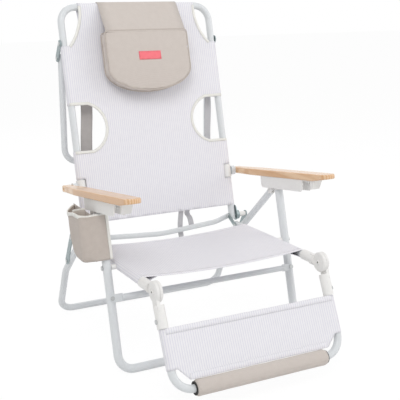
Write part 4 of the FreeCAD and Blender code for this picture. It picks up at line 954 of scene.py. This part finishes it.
bag_rows = []
for k in range(BAG_ROWS + 1):
    t = k / BAG_ROWS
    z = BAG_LOW + (BAG_HIGH - BAG_LOW) * t
    row = []
    for c, spot in enumerate(even(bag_path(z), BAG_COLUMNS)):
        along = c / (BAG_COLUMNS - 1)
        loose = ease(-spot.x, BAG_X, BAG_X + 20 * MM)
        belly = 3.0 * MM * math.sin(math.pi * min(t * 1.15, 1.0)) - 4.0 * MM * (1 - ease(t, 0.0, 0.1))
        crease = 1.3 * MM * loose * noise.noise(Vector((along * 7.0, t * 2.2, 4.0))) * ease(t, 0.02, 0.3)
        away = (spot - Vector((-BAG_X - 15 * MM, bag_front(z) + 60 * MM))).normalized()
        dip = 5 * MM * ease(along, 0.45, 0.7) * t + 2.5 * MM * loose * t * math.sin(along * 11.0)
        row.append(Vector((*(spot + away * (loose * belly + crease)), z - dip)))
    bag_rows.append(row)
bag_mesh = strip_mesh(bag_rows)
bag_len = run_lengths(bag_rows[-1])[-1]
mark_cut(bag_mesh, lambda k: (k % BAG_COLUMNS / (BAG_COLUMNS - 1) * bag_len,
                              k // BAG_COLUMNS / BAG_ROWS * (BAG_HIGH - BAG_LOW)))


def rim_tape(name, line, inward, width):
    """Tape folded over a cut edge of the pouch: inward points from the edge into the cloth."""
    profile = ((width, RIM_LIFT), (0.0, RIM_LIFT), (-0.8 * MM, 0.0), (0.0, -RIM_LIFT), (width, -RIM_LIFT))
    rows = []
    for point, aim in headings(line):
        out = aim.cross(inward).normalized()
        rows.append([point + inward * d + out * h for d, h in profile])
    return show(name, strip_mesh(rows), ivory_tape, "front_leg", "pouch", (), RIM_T)


def backing_lay(y, z):
    """The backing hangs upright beside the leg, a little uneven."""
    return Vector((-BAG_X + 0.8 * MM * noise.noise(Vector((y * 30, z * 30, 3.0))), y, z))


backing_low, backing_top = BAG_LOW - 4 * MM, BAG_HIGH - 2 * MM
backing_cut = [(bag_front(BAG_LOW) + 8 * MM, backing_low), (bag_path(BAG_LOW)[-1].y + 4 * MM, backing_low),
               (bag_path(backing_top)[-1].y + 4 * MM, backing_top),
               (bag_front(backing_top) + 8 * MM, backing_top)]
backing = show("pouch_backing", cut_cloth(backing_cut, backing_lay, NET_GAP), pouch_cloth, "front_leg",
               "pouch", ["side_pouch"], BACKING_T)
floor_z = BAG_LOW + 3 * MM
floor_run = [p for p in bag_path(floor_z) if p.x <= -BAG_X]
floor_cut = [Vector((-BAG_X, floor_run[0].y))]
floor_cut += [p.lerp(Vector((-BAG_X - 15 * MM, p.y)), 0.08) for p in floor_run]
pouch_floor = show("pouch_floor", cut_cloth(floor_cut, lambda x, y: Vector((x, y, floor_z)), NET_GAP),
                   pouch_cloth, "front_leg", "pouch", (), WALL_T)
wall = show("pouch_wall", bag_mesh, pouch_cloth, "front_leg", "pouch", (), WALL_T)
rim = rim_tape("pouch_rim_wall", bag_rows[-1], DOWN, 10 * MM)
lap = rim_tape("pouch_rim_lap", [row[0] for row in bag_rows], TO_SIDE, 8 * MM)
flat_area(backing_cut)

# Divider between the pouch's two cells, a little taller than the wall, with its own bound rim.
# It is sewn to the wall's side and to the backing.
CELL_DEEP, DIVIDER_RISE, DIVIDER_FOOT, DIVIDER_BOW = 52.0 * MM, 6.0 * MM, 5.0 * MM, 4.0 * MM
DIVIDER_ROWS, DIVIDER_COLUMNS = 12, 10
divider_rows = []
for k in range(DIVIDER_ROWS + 1):
    z = BAG_LOW + DIVIDER_FOOT + (BAG_HIGH + DIVIDER_RISE - BAG_LOW - DIVIDER_FOOT) * k / DIVIDER_ROWS
    y = bag_front(z) + CELL_DEEP
    row = []
    for c in range(DIVIDER_COLUMNS + 1):
        x = -BAG_OUT + 4 * MM + (BAG_OUT - BAG_X - 5 * MM) * c / DIVIDER_COLUMNS
        bow = DIVIDER_BOW * math.sin(math.pi * c / DIVIDER_COLUMNS) * (k / DIVIDER_ROWS)
        row.append(Vector((x, y + bow, z)))
    divider_rows.append(row)
divider_mesh = strip_mesh(divider_rows)
mark_cut(divider_mesh, lambda k: divider_mesh.vertices[k].co.xz)
divider = show("pouch_divider", divider_mesh, pouch_cloth, "front_leg", "pouch", (), WALL_T)
divider_rim = rim_tape("pouch_rim_divider", divider_rows[-1], DOWN, 10 * MM)
